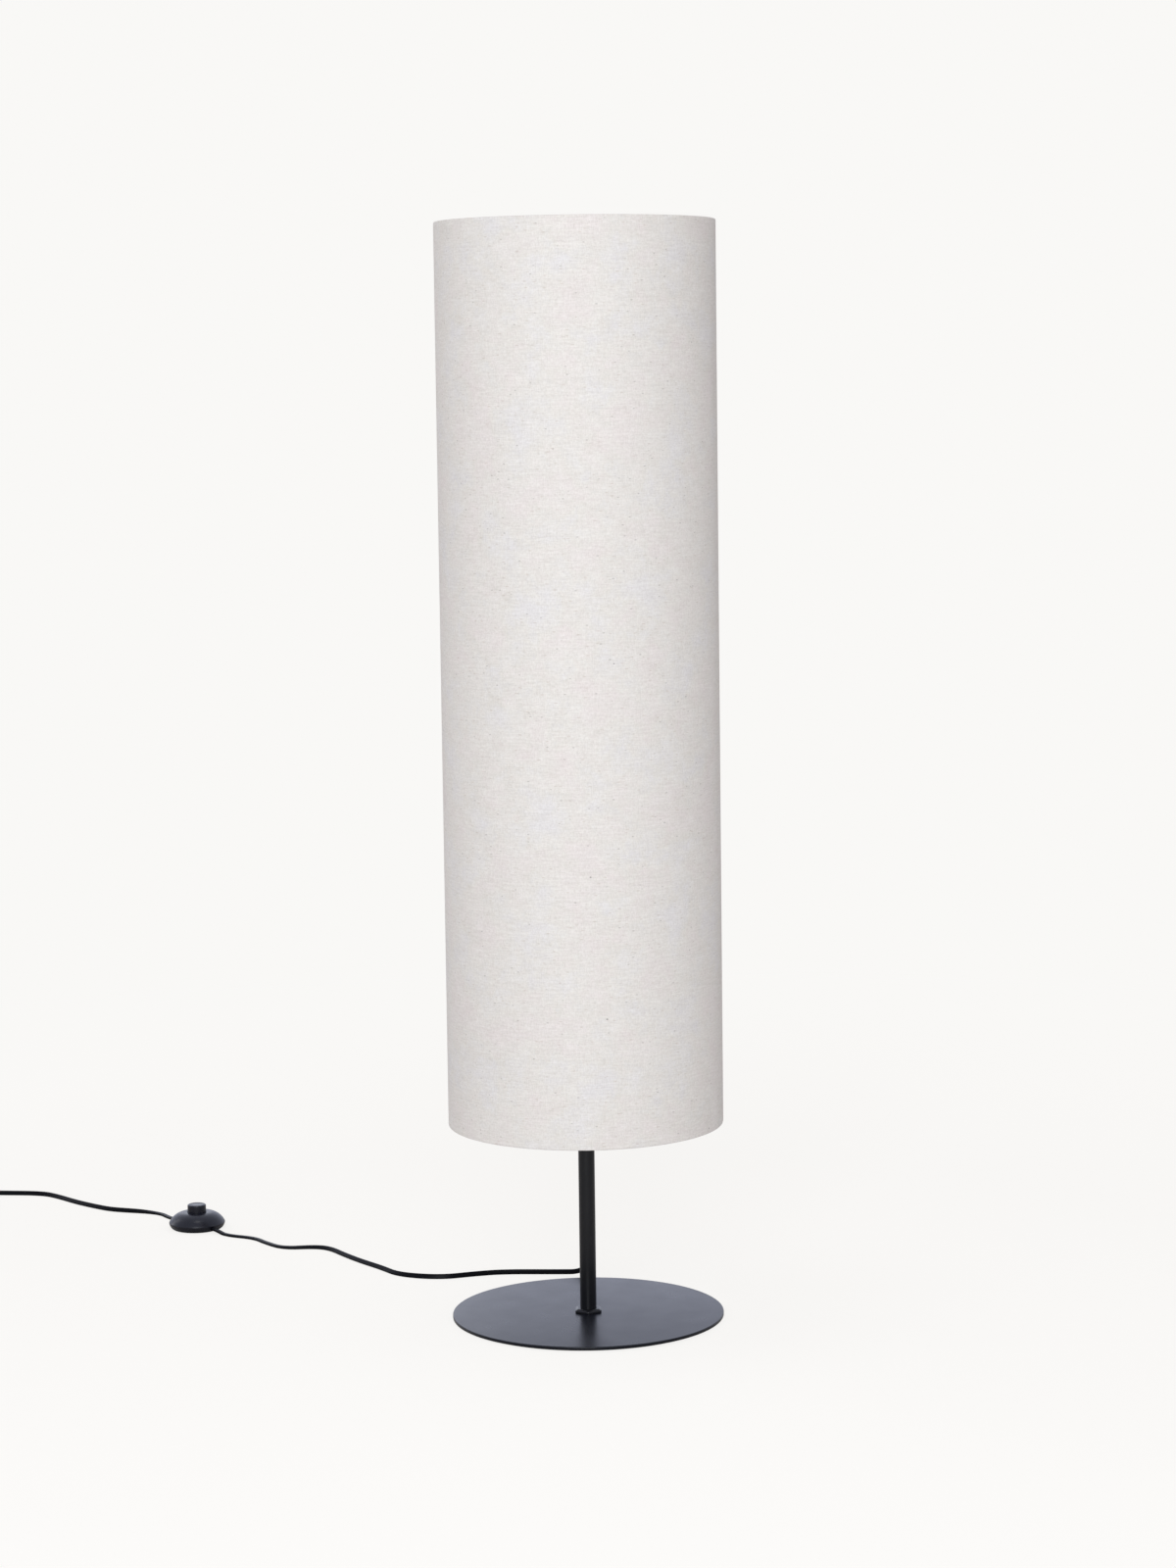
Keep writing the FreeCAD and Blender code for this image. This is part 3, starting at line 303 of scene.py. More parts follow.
blackCoat = powderCoat("blackCoat", (0.0030, 0.0031, 0.0042), 0.30, 0.30, 0.04)
plateCoat = powderCoat("plateCoat", (0.002, 0.0025, 0.005), 0.28, 0.22, 0.008)
whiteCoat = powderCoat("whiteCoat", (0.74, 0.74, 0.72), 0.38)
zincSteel = turnedMetal("zincSteel", (0.62, 0.62, 0.60), 0.32)
springSteel = turnedMetal("springSteel", (0.50, 0.50, 0.49), 0.30)
brightBrass = turnedMetal("brightBrass", (0.78, 0.60, 0.30), 0.28)
nickelPin = turnedMetal("nickelPin", (0.72, 0.70, 0.66), 0.2, (1, 26, 1))
capMetal = turnedMetal("capMetal", (0.70, 0.70, 0.68), 0.25)
holderPlastic = mouldedPlastic("holderPlastic", (0.022, 0.022, 0.024), 0.42)
switchPlastic = mouldedPlastic("switchPlastic", (0.004, 0.0042, 0.008), 0.30, 0.26, 1900.0)
plugPlastic = mouldedPlastic("plugPlastic", (0.018, 0.018, 0.020), 0.45)
sleevePlastic = mouldedPlastic("sleevePlastic", (0.020, 0.020, 0.021), 0.4)
corePlastic = mouldedPlastic("corePlastic", (0.72, 0.71, 0.66), 0.25)
lampPlastic = mouldedPlastic("lampPlastic", (0.74, 0.74, 0.73), 0.4)
boardCoat = powderCoat("boardCoat", (0.70, 0.71, 0.69), 0.3)
glassSeal = mouldedPlastic("glassSeal", (0.02, 0.02, 0.025), 0.12)
padFoam = softFoam("padFoam", (0.014, 0.014, 0.015), 0.8)
bushRubber = softFoam("bushRubber", (0.016, 0.016, 0.017), 0.5)
strapCloth = softFoam("strapCloth", (0.02, 0.02, 0.021), 0.75)
flexBlack = flexSheath("flexBlack", (0.002, 0.002, 0.003), 0.33, 0.1)
opalPlastic = opalShell("opalPlastic", (0.86, 0.85, 0.82), 0.34)
linerWhite = linerSheet("linerWhite", (0.80, 0.79, 0.75))
shadeLinen = wovenCloth("shadeLinen", **clothFacts)
print("stage: finishes made,", len(bpy.data.materials), "materials")


# mesh tools
def gridFaces(rows, cols):
    # the four corners of each cell, for points kept row by row
    row, col = np.divmod(np.arange((rows - 1) * (cols - 1)), cols - 1)
    corner = row * cols + col
    return np.stack([corner, corner + 1, corner + cols + 1, corner + cols], 1)


def aroundTurn(count):
    # the angles of a full turn in equal steps, with both its ends
    return np.linspace(0, 2 * math.pi, count + 1)


def newPiece(name, body, grids, material, stands, uv=None, sharp=38):
    # closed surfaces from grids of points: doubles at seams and poles are merged, faces turned outwards
    grids = grids if isinstance(grids, list) else [grids]
    faces, first = [], 0
    for grid in grids:
        faces.append(gridFaces(*grid.shape[:2]) + first)
        first += grid.shape[0] * grid.shape[1]
    faces = np.vstack(faces)
    mesh = bpy.data.meshes.new(name)
    mesh.from_pydata(np.vstack([grid.reshape(-1, 3) for grid in grids]).tolist(), [], faces.tolist())
    if uv is not None:
        layer = mesh.uv_layers.new(name="surface")
        layer.uv.foreach_set("vector", uv.reshape(-1, 2)[faces.ravel()].astype(np.float32).ravel())
    work = bmesh.new()
    work.from_mesh(mesh)
    bmesh.ops.remove_doubles(work, verts=work.verts, dist=2e-6)
    bmesh.ops.recalc_face_normals(work, faces=work.faces)
    work.to_mesh(mesh)
    work.free()
    mesh.shade_smooth()
    mesh.set_sharp_from_angle(angle=math.radians(sharp))
    mesh.materials.append(material)
    piece = bpy.data.objects.new(name, mesh)
    scene.collection.objects.link(piece)
    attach(piece, body)
    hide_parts(*stands)
    return piece


def rounded(corners, closed=True, steps=5):
    # outline whose corners are cut back by their third number and bridged by a parabola
    spots = np.array(corners, float)
    t = np.linspace(0, 1, steps)[:, None]
    parts = []
    for k, (x, y, cut) in enumerate(spots):
        here = np.array([x, y])
        if cut == 0:
            parts.append(here[None])
            continue
        before, after = spots[k - 1, :2] - here, spots[(k + 1) % len(spots), :2] - here
        start = here + before * cut / np.linalg.norm(before)
        end = here + after * cut / np.linalg.norm(after)
        parts.append((1 - t) ** 2 * start + 2 * t * (1 - t) * here + t ** 2 * end)
    line = np.vstack(parts)
    return np.vstack([line, line[:1]]) if closed else line


def arcThrough(a, b, c, count=16):
    # circle through three points of a plane: its centre is as far from a as from b and c
    a, b, c = (np.array(p, float) for p in (a, b, c))
    rows = 2 * np.array([b - a, c - a])
    centre = np.linalg.solve(rows, [b @ b - a @ a, c @ c - a @ a])
    angles = np.unwrap([math.atan2(*(p - centre)[::-1]) for p in (a, b, c)])
    turn = np.linspace(angles[0], angles[2], count)
    return centre + np.hypot(*(a - centre)) * np.column_stack([np.cos(turn), np.sin(turn)])


def normals(line, closed=False):
    # the unit normals of a plane line: its direction turned back by a quarter
    way = np.gradient(line, axis=0)
    if closed:
        way[0] = way[-1] = line[1] - line[-2]
    return np.column_stack([way[:, 1], -way[:, 0]]) / np.linalg.norm(way, axis=1)[:, None]


def fullOval(turn, fullness):
    # cosine and sine with their sizes raised to a power: 2 is an oval, more is nearer to a rectangle
    return (np.sign(wave) * np.abs(wave) ** (2 / fullness) for wave in (np.cos(turn), np.sin(turn)))


def groovedTaper(run, start, end, grooves, lag, land, last, depth=0.0007):
    # radius = a straight taper less the part of a sine wave over its land, up to the last groove
    wave = np.clip(np.sin(2 * math.pi * grooves * run - lag), land, 1) - land
    return start + (end - start) * run - depth * wave * (run < last)


def turned(profile, around=96, centre=(0, 0)):
    # each radius and height of a profile carried round the upright line through centre
    profile = np.asarray(profile, float)
    turn = aroundTurn(around)
    radius, height = profile[:, :1], profile[:, 1:]
    return np.stack([centre[0] + radius * np.cos(turn), centre[1] + radius * np.sin(turn),
                     height + 0 * turn], -1)


def alongY(grid, centre):
    # the same turned form laid down: its height becomes the way back, about a level axis
    return np.stack([centre[0] + grid[..., 0], grid[..., 2], centre[1] + grid[..., 1]], -1)


def sweptRings(line, sections, closed=False, upwards=(0, 0, 1.0)):
    # rings of (sideways, upwards) points set square to a line; an open line's ends close on its centre
    way = np.gradient(line, axis=0)
    if closed:
        way[0] = way[-1] = line[1] - line[-2]
    way /= np.linalg.norm(way, axis=1)[:, None]
    side = np.cross(way, upwards)
    side /= np.linalg.norm(side, axis=1)[:, None]
    rise = np.cross(side, way)
    rings = (line[:, None] + side[:, None] * sections[..., :1] + rise[:, None] * sections[..., 1:])
    if closed:
        return rings
    ends = [np.repeat(line[k][None, None], rings.shape[1], 1) for k in (0, -1)]
    return np.concatenate([ends[0], rings, ends[1]])


def roundSection(radius, around, count):
    turn = aroundTurn(around)
    ring = radius * np.column_stack([np.cos(turn), np.sin(turn)])
    return np.repeat(ring[None], count, 0)


# cord
flexFacts = {
    "wide": 0.0049, "thick": 0.0027,
    "fullness": 3.2,        # 2 is an oval, more is flatter on the broad sides
    "dip": 0.10,            # of the thickness, between the two cores
    "dipWide": 0.17,        # of the width
    "around": 24,
    "tubeRadius": 0.0025,   # of the round stand-in, whose underside the flex keeps
    "sinks": (0.0042, 0.003),   # heights between which the flex comes to rest on the floor
}
switchPlace = (-0.4006, 0.3653)
switchTurn = math.radians(-50)
port = 0.004                # height of the cord's axis in the switch
coilFacts = {
    "centre": (-0.687, 0.4883), "meanRadius": 0.02865, "pitch": 0.0056, "turns": 5.25,
    "low": 0.0034, "perTurn": 16,
}


def atSwitch(distance, height):
    # a point on the cord's line through the switch
    x, y = switchPlace
    return (x + distance * math.cos(switchTurn), y + distance * math.sin(switchTurn), height)


floorLine = flexFacts["tubeRadius"]


def onFloor(*spots):
    return [(x, y, floorLine) for x, y in spots]


lampRoute = [
    (0, 0.0045, 0.055), (0, 0.048, 0.055), (0.001, 0.091, 0.046), (0.006, 0.123, 0.026),
    (-0.004, 0.143, 0.005),
    *onFloor((-0.032, 0.154), (-0.083, 0.157), (-0.110, 0.150), (-0.143, 0.138), (-0.183, 0.152),
             (-0.201, 0.180), (-0.223, 0.208), (-0.241, 0.235), (-0.257, 0.262), (-0.273, 0.270),
             (-0.304, 0.267), (-0.324, 0.291), (-0.337, 0.312)),
    atSwitch(0.053, floorLine), atSwitch(0.035, port), atSwitch(0.019, port),
]
coilRoute = [
    atSwitch(-0.019, port), atSwitch(-0.034, port), atSwitch(-0.050, floorLine),
    *onFloor((-0.447, 0.429), (-0.495, 0.440), (-0.516, 0.456), (-0.541, 0.479), (-0.564, 0.506),
             (-0.583, 0.522), (-0.630, 0.526)),
    (-0.655, 0.5243, 0.0034), (-0.682, 0.5243, 0.0034),
]
plugRoute = [
    (-0.723, 0.4833, 0.009), (-0.723, 0.464, 0.009), (-0.722, 0.4435, 0.00685),
    (-0.724, 0.4215, 0.00685), (-0.724, 0.400, 0.00685),
]
innerRoute = [
    (0, 0.0045, 0.055), (0, -0.0025, 0.055), (0, -0.0025, 0.062), (0, -0.0025, 0.354),
    (0, 0, 0.468), (0, 0, 0.518),
]


def coilTurns(centre, meanRadius, pitch, turns, low, perTurn):
    # radius = a straight fall to the middle turn and a rise back out; the height climbs one layer in
    # the half turn about the middle; drawn out a little, because the spline cuts inside its points
    turn = np.arange(0, turns * perTurn + 1) / perTurn
    fromMiddle = turn - turns / 2
    reach = pitch * turns / 4
    radius = meanRadius - reach + pitch * np.abs(fromMiddle)
    radius = radius / (0.75 + 0.25 * math.cos(2 * math.pi / perTurn))
    height = low + pitch * np.clip(2 * fromMiddle + 0.5, 0, 1)
    angle = math.pi / 2 + 2 * math.pi * turn
    x, y = centre
    return np.column_stack([x + radius * np.cos(angle), y + radius * np.sin(angle), height])


def splineLine(points, fineness):
    # the points that a smooth open spline takes from its control points, as Blender works them out
    points = np.asarray(points, float)
    curve = bpy.data.curves.new("route", "CURVE")
    curve.dimensions, curve.resolution_u = "3D", fineness
    spline = curve.splines.new("NURBS")
    spline.points.add(len(points) - 1)
    spline.points.foreach_set("co", np.column_stack([points, np.ones(len(points))]).ravel())
    spline.order_u = 3
    spline.use_endpoint_u = True
    holder = bpy.data.objects.new("route", curve)
    scene.collection.objects.link(holder)
    bpy.context.view_layer.update()
    mesh = bpy.data.meshes.new_from_object(holder)
    line = np.empty(len(mesh.vertices) * 3)
    mesh.vertices.foreach_get("co", line)
    line = line.reshape(-1, 3)
    bpy.data.objects.remove(holder)
    bpy.data.curves.remove(curve)
    bpy.data.meshes.remove(mesh)
    return line[np.append(True, np.linalg.norm(np.diff(line, axis=0), axis=1) > 1e-6)]


def flexPiece(name, line, twist, stands, wide, thick, fullness, dip, dipWide, around, tubeRadius, sinks,
              upwards=(0, 0, 1.0)):
    # section = flat oval with a dip between the cores, turned by the twist that its run along the
    # line gives, eased between stops; near the floor it sinks till its underside lies there
    run = np.append(0, np.cumsum(np.linalg.norm(np.diff(line, axis=0), axis=1)))
    stops = np.array(twist)
    place = np.interp(run, stops[:, 0], np.arange(len(stops)))
    eased = np.floor(place) + (1 - np.cos(math.pi * (place % 1))) / 2
    angle = np.radians(np.interp(eased, np.arange(len(stops)), stops[:, 1]))[:, None]
    turn = aroundTurn(around)
    broad, flat = fullOval(turn, fullness)
    broad, flat = broad * wide / 2, flat * thick / 2
    flat = flat * (1 - dip * np.exp(-(broad / (dipWide * wide)) ** 2))
    side = broad * np.cos(angle) - flat * np.sin(angle)
    rise = broad * np.sin(angle) + flat * np.cos(angle)
    sinkStart, sinkEnd = sinks
    near = np.clip((sinkStart - line[:, 2]) / (sinkStart - sinkEnd), 0, 1)
    line = line.copy()
    line[:, 2] -= near * (tubeRadius + rise.min(1))
    grid = sweptRings(line, np.stack([side, rise], -1), False, upwards)
    along = np.concatenate([[0], run, run[-1:]])[:, None]       # with the rings that close the ends
    uv = np.stack(np.broadcast_arrays(turn / (2 * math.pi), along), -1)
    return newPiece(name, "lamp", grid, flexBlack, stands, uv, 60), line


# each twist is a list of runs along the cord and the angles there, in degrees
lampFlex, lampPath = flexPiece(
    "lampFlex", splineLine(lampRoute, 12),
    [(0, 90), (0.26, 88), (0.35, 42), (0.46, 30), (0.54, 4), (0.64, 0)], ["lamp_cord"], **flexFacts)
mainsRoute = np.vstack([coilRoute, coilTurns(**coilFacts), plugRoute])
mainsFlex, mainsPath = flexPiece(
    "mainsFlex", splineLine(mainsRoute, 8),
    [(0, 0), (0.05, 2), (0.10, 52), (0.24, 58), (0.32, 90), (1.27, 90), (1.34, 4), (1.40, 0)],
    ["mains_cord", "cord_coil", "plug_lead"], **flexFacts)
flexPiece("innerFlex", splineLine(innerRoute, 12), [(0, 0), (0.47, 0)], ["inner_lead"], **flexFacts,
          upwards=(1.0, 0, 0))
print("stage: cords laid,", len(lampPath), "and", len(mainsPath), "rings")


# base and pole
baseFacts = {
    "radius": 0.125, "bottom": 0.001, "top": 0.004, "edge": 0.0008, "padRadius": 0.122, "padHole": 0.012,
}


def makeBase(radius, bottom, top, edge, padRadius, padHole):
    # plate = a closed outline with softened rims carried round the axis; pad = a thin ring under it
    outline = rounded([(0, bottom, 0), (radius, bottom, edge * 0.6),
                       (radius, top, edge), (0, top, 0)], False, 7)
    newPiece("basePlate", "lamp", turned(outline, 288), plateCoat, ["base_plate"])
    ring = rounded([(padHole, 0, 0.0003), (padRadius, 0, 0.0004),
                    (padRadius, bottom, 0.0002), (padHole, bottom, 0.0002)])
    newPiece("basePad", "lamp", turned(ring, 192), padFoam, ["base_pad"])


footFacts = {
    "flats": 0.024, "topFlats": 0.019, "bottom": 0.004, "side": 0.0061, "top": 0.0074, "soft": 0.0004,
    "spigot": 0.0065, "spigotTop": 0.0294,
}


def makeFoot(flats, topFlats, bottom, side, top, soft, spigot, spigotTop):
    # half the width over flats = an outline of side, bevel and top with softened corners; radius = that
    # over the cosine of the angle from the nearest flat, less a soft dent at each of the six corners
    half, topHalf = flats / 2, topFlats / 2
    outline = rounded([(0, bottom, 0), (half, bottom, 0.0002),
                       (half, side, 0.0004), (topHalf, top, 0.0004),
                       (spigot + 0.0006, top, 0)], False, 6)
    turn = aroundTurn(360)[None]
    within = (turn - math.pi / 6) % (math.pi / 3) - math.pi / 6
    dent = soft * np.exp(-((np.abs(within) - math.pi / 6) / 0.035) ** 2)
    radius = outline[:, :1] / np.cos(within) - dent * outline[:, :1] / half
    inner = np.array([spigot, spigot, 0])[:, None] + 0 * turn
    radius = np.vstack([radius, inner])
    height = np.concatenate([outline[:, 1], [top, spigotTop, spigotTop]])[:, None]
    grid = np.stack([radius * np.cos(turn), radius * np.sin(turn), height + 0 * radius], -1)
    newPiece("poleFoot", "lamp", grid, blackCoat, ["pole_foot"], sharp=24)


poleFacts = {
    "radius": 0.0075, "wall": 0.001, "edge": 0.0003,
    "levels": {"lower_pole": (0.0074, 0.3074), "upper_pole": (0.3074, 0.500)},
    "plug": (0.484, 0.500, 0.502, 0.005),
}


def makePole(radius, wall, edge, levels, plug):
    # tube = a thin rectangle with softened corners carried round the axis
    outer, inner = radius, radius - wall
    for node, (low, high) in levels.items():
        outline = rounded([(inner, low, edge), (outer, low, edge), (outer, high, edge), (inner, high, edge)])
        name = {"lower_pole": "lowerPole", "upper_pole": "upperPole"}[node]
        newPiece(name, "lamp", turned(outline, 96), blackCoat, [node])
    start, seat, top, bore = plug
    outline = rounded([(bore, start, 0), (inner, start, 0.0004), (inner, seat, 0), (outer, seat, 0.0002),
                       (outer, top, 0.0004), (bore, top, 0.0002)])
    newPiece("poleTopPlug", "lamp", turned(outline, 96), blackCoat, ["pole_top_plug"])


bushFacts = {
    "level": 0.055, "inside": 0.0046, "face": 0.009, "flange": 0.0056, "shank": 0.004,
    "step": 0.0066, "end": 0.0295, "bore": 0.0026,
    "taper": (0.0047, 0.0033, 6, 0.9, 0.15, 0.93),   # radii, grooves, their lag, land and last place
}


def makeBush(level, inside, face, flange, shank, step, end, bore, taper):
    # flange and shank from corners; tail radius = a straight taper less a row of grooves
    tail = np.linspace(0, 1, 73)
    radius = groovedTaper(tail, *taper)
    reach = face + (end - face) * tail
    head = rounded([(bore, inside, 0), (shank, inside, 0.0003),
                    (shank, step, 0), (flange, step, 0),
                    (flange, face, 0.0007)], False)
    outline = np.vstack([head, np.column_stack([radius, reach]), [[bore, end], head[0]]])
    grid = alongY(turned(outline, 48), (0, level))
    newPiece("cordBush", "lamp", grid, bushRubber, ["cord_bush"])


makeBase(**baseFacts)
makeFoot(**footFacts)
makePole(**poleFacts)
makeBush(**bushFacts)
print("stage: base and pole made")


# lamp holder and shade rings
holderFacts = {
    "neck": 0.009, "bottom": 0.502, "neckTop": 0.508, "flareTop": 0.520, "radius": 0.01975,
    "flareBend": (0.0159, 0.5125), "insideBend": (0.0139, 0.5135),      # middle points of their arcs
    "domeTop": 0.532, "top": 0.578, "bore": 0.0142, "wall": 0.002, "nipple": 0.005,
    "boreEnd": 0.540, "pocket": 0.0151, "spigot": 0.01765, "spigotEnd": 0.524,
    "threadPitch": 0.0025, "threadDepth": 0.0007,
}


def threaded(profileHeights, radius, depth, pitch, around):
    # radius = the outside less a smooth ridge wave whose phase runs with the height and the turn;
    # the wave fades out over the first and last millimetre and a half
    height = profileHeights[:, None]
    turn = aroundTurn(around)[None]
    wave = (1 - np.cos(2 * math.pi * height / pitch - turn)) / 2
    fade = np.clip((height - height[0]) / 0.0015, 0, 1) * np.clip((height[-1] - height) / 0.0015, 0, 1)
    ridge = radius - depth * fade * wave ** 1.5
    return np.stack([ridge * np.cos(turn), ridge * np.sin(turn), height + 0 * turn], -1)


def makeHolder(neck, bottom, neckTop, flareTop, radius, flareBend, insideBend, domeTop, top, bore, wall,
               nipple, boreEnd, pocket, spigot, spigotEnd, threadPitch, threadDepth):
    # dome = straight neck, hollow flare and straight skirt; shell = threaded barrel with a plain bore
    flare = arcThrough((neck, neckTop), flareBend, (radius, flareTop))
    inner = arcThrough((radius - wall, flareTop + 0.001), insideBend,
                       (neck - wall, neckTop + 0.001))
    outline = np.vstack([[[nipple, bottom]],
                         rounded([(nipple, bottom, 0), (neck, bottom, 0.0006),
                                  (neck, neckTop, 0)], False)[1:-1],
                         flare, [[radius, domeTop - 0.0004],
                                 [radius - 0.0004, domeTop],
                                 [radius - wall, domeTop]],
                         inner, [[nipple, neckTop - 0.001], [nipple, bottom]]])
    newPiece("holderDome", "lamp", turned(outline, 96), holderPlastic, ["holder_dome"])
    height = np.linspace(domeTop, top - 0.0004, 190)
    barrel = threaded(height, radius, threadDepth, threadPitch, 96)
    lip = turned([(radius - 0.0005, top), (bore + 0.0004, top),
                  (bore, top - 0.0004), (bore, boreEnd),
                  (pocket, boreEnd), (pocket, spigotEnd),
                  (spigot, spigotEnd), (spigot, domeTop)], 96)
    grid = np.concatenate([barrel, lip, barrel[:1]])
    newPiece("holderShell", "lamp", grid, holderPlastic, ["holder_shell"])


ringFacts = {"outer": 0.0275, "ribs": 20, "depth": 0.0009, "edge": 0.0008}


def makeRing(name, body, node, low, high, bore, outer, ribs, depth, edge):
    # outside radius = the ring's less a row of round flutes; rims and bore softened
    outline = rounded([(bore, low, 0.0004), (outer, low, edge),
                       (outer, high, edge), (bore, high, 0.0004)])
    grid = turned(outline, 240)
    turn = aroundTurn(240)
    flute = depth * np.clip(np.cos(ribs * turn), 0, 1) ** 0.7
    outwards = np.clip((outline[:, :1] - bore) / (outer - bore) * 4 - 3, 0, 1)
    grid[..., :2] *= (1 - flute * outwards / outer)[..., None]
    newPiece(name, body, grid, holderPlastic, [node])


carrierFacts = {
    "hubInner": 0.02015, "hubOuter": 0.031, "low": 0.556, "high": 0.5575,
    "wireRadius": 0.002, "spokeRadius": 0.00175,
    "track": 0.12255, "arms": 3, "armStart": 0.0288,
}


def makeCarrier(hubInner, hubOuter, low, high, wireRadius, spokeRadius, track, arms, armStart):
    # hub = a thin washer; wires = round sections swept along a circle and along three spokes, whose
    # inner ends are pressed flat over the hub's edge
    level = (low + high) / 2
    outline = rounded([(hubInner, low, 0.0003), (hubOuter, low, 0.0004),
                       (hubOuter, high, 0.0004), (hubInner, high, 0.0003)])
    newPiece("carrierHub", "shade", turned(outline, 96), whiteCoat, ["carrier_hub"])
    turn = aroundTurn(192)
    circle = np.column_stack([track * np.cos(turn), track * np.sin(turn), level + 0 * turn])
    grid = sweptRings(circle, roundSection(wireRadius, 20, len(circle)), True)
    newPiece("carrierRing", "shade", grid, whiteCoat, ["carrier_ring"])
    spokes = []
    for k in range(arms):
        angle = math.pi / 2 + 2 * math.pi * k / arms
        out = np.linspace(armStart, track, 24)
        spoke = np.column_stack([out * math.cos(angle), out * math.sin(angle), level + 0 * out])
        sections = roundSection(spokeRadius, 20, len(out))
        press = np.clip(1 - (out - armStart) / 0.008, 0, 1)[:, None]
        sections[..., 1] *= 1 - 0.3 * press
        sections[..., 0] *= 1 + 0.2 * press
        spokes.append(sweptRings(spoke, sections))
    newPiece("carrierArms", "shade", spokes, whiteCoat, ["carrier_arms"])


makeHolder(**holderFacts)
makeRing("lowerShadeRing", "lamp", "lower_shade_ring", 0.548, 0.556, 0.01975, **ringFacts)
makeRing("upperShadeRing", "shade_ring", "upper_shade_ring", 0.5583, 0.5663, 0.02005, **ringFacts)
makeCarrier(**carrierFacts)
print("stage: holder, rings and carrier made")


# shade
shadeFacts = {
    "outer": 0.126, "thick": 0.0008, "low": 0.182, "high": 1.000, "wireTrack": 0.12255,
    "hemCentre": 0.00245,   # radius of the cloth's middle round an end wire
    "hemDepth": 0.00285, "tailReach": 0.00205, "lapWide": 0.014, "lapProud": 0.00035,
    "linerInner": 0.1246, "linerOuter": 0.1252,
}


def makeShade(outer, thick, low, high, wireTrack, hemCentre, hemDepth, tailReach, lapWide, lapProud,
              linerInner, linerOuter):
    # the cloth's middle line: hem round the lower wire, wall, hem round the upper wire; the outline is
    # that line set out by half a thickness along its normals, both ways, and carried round the axis
    wall = outer - thick / 2
    hems = []
    for rim, up in ((low, -1), (high, 1)):
        centre = rim - up * hemDepth
        turn = np.linspace(0, math.pi, 13)
        bend = np.column_stack([wireTrack - hemCentre * np.sin(turn),
                                centre + up * hemCentre * np.cos(turn)])
        edge = centre + up * hemCentre
        corner = rounded([(wall, edge - up * 0.006, 0), (wall, edge, 0.0009), (wireTrack, edge, 0)],
                         False, 6)
        tail = [[wireTrack + tailReach - 0.0005, centre - up * hemCentre]]
        hems.append(np.vstack([corner[:-1], bend, tail]))
    heights = np.linspace(hems[0][0, 1], hems[1][0, 1], 34)[1:-1]
    middle = np.vstack([hems[0][::-1], np.column_stack([0 * heights + wall, heights]), hems[1]])
    out = thick / 2 * normals(middle)
    outline = np.vstack([middle + out, (middle - out)[::-1], (middle + out)[:1]])
    run = np.append(0, np.cumsum(np.linalg.norm(np.diff(middle, axis=0), axis=1)))
    grid = turned(outline, 288)
    turn = aroundTurn(288)
    # the cloth's vertical lap, a step of one extra layer at the back
    fromBack = (turn - math.pi / 2 + math.pi) % (2 * math.pi) - math.pi
    lap = np.clip(0.5 + (lapWide / 2 - np.abs(fromBack * wall)) / 0.0012, 0, 1)
    outside = (np.arange(len(outline)) % (len(outline) - 1) < len(middle))[:, None]     # last point = first
    grid[..., :2] *= (1 + lapProud * lap * outside / wall)[..., None]
    lengthways = np.concatenate([run, run[::-1], run[:1]])[:, None]
    uv = np.stack(np.broadcast_arrays(turn * wall, lengthways), -1)
    cover = newPiece("shadeCloth", "shade", grid, shadeLinen, ["shade_fabric"], uv, 50)
    outline = rounded([(linerInner, low + 0.001, 0), (linerOuter, low + 0.001, 0),
                       (linerOuter, high - 0.001, 0), (linerInner, high - 0.001, 0)])
    newPiece("shadeLiner", "shade", turned(outline, 240), linerWhite, ["shade_liner"])


makeShade(**shadeFacts)
print("stage: shade made")


# lamp
lampFacts = {
    "capLow": 0.5495, "capHigh": 0.571, "capRadius": 0.0132, "capPitch": 0.003629,
    "capDepth": 0.0008, "capInside": 0.0122, "capMouth": 0.0075, "boardRadius": 0.0209, "boardDepth": 0.0016,
    "collar": 0.0137, "flareLow": 0.580, "flareHigh": 0.606, "bodyRadius": 0.028,
    "globeRadius": 0.030, "top": 0.6553, "wall": 0.0012,
}


def makeLamp(capLow, capHigh, capRadius, capPitch, capDepth, capInside, capMouth, boardRadius, boardDepth,
             collar, flareLow, flareHigh, bodyRadius, globeRadius, top, wall):
    # cap = rolled thread; body = collar and cone with softened corners; globe = part of a sphere
    # that draws in to the body, as one wall with an inside
    height = np.linspace(capLow, capHigh, 110)
    shell = threaded(height, capRadius, capDepth, capPitch, 72)
    inside = turned([(capInside, capHigh), (capInside, capLow + 0.0004),
                     (capMouth, capLow + 0.0004), (capMouth, capLow)], 72)
    grid = np.concatenate([shell, inside, shell[:1]])
    newPiece("lampCap", "bulb", grid, capMetal, ["bulb_cap"])
    outline = rounded([(0, capHigh, 0), (collar, capHigh, 0.0006),
                       (collar, flareLow, 0.002), (bodyRadius, flareHigh - 0.003, 0.002),
                       (bodyRadius, flareHigh, 0.0004), (boardRadius, flareHigh, 0),
                       (boardRadius, flareHigh - boardDepth, 0),
                       (0, flareHigh - boardDepth, 0)], False, 7)
    newPiece("lampBody", "bulb", turned(outline, 120), lampPlastic, ["bulb_housing"])

    def ball(radius, rim):
        centre = top - globeRadius
        bulge = (rim + (radius - rim) * 0.72, centre - 0.0085)
        side = arcThrough((rim, flareHigh), bulge, (radius, centre), 12)
        turn = np.linspace(0, math.pi / 2, 26)[1:]
        crown = np.column_stack([radius * np.cos(turn), centre + radius * np.sin(turn)])
        return np.vstack([side, crown])

    outer = ball(globeRadius, bodyRadius)
    inner = ball(globeRadius - wall, bodyRadius - wall)
    outline = np.vstack([outer, inner[::-1], outer[:1]])
    newPiece("lampGlobe", "bulb", turned(outline, 96), opalPlastic, ["bulb_globe"])


makeLamp(**lampFacts)
print("stage: lamp made")


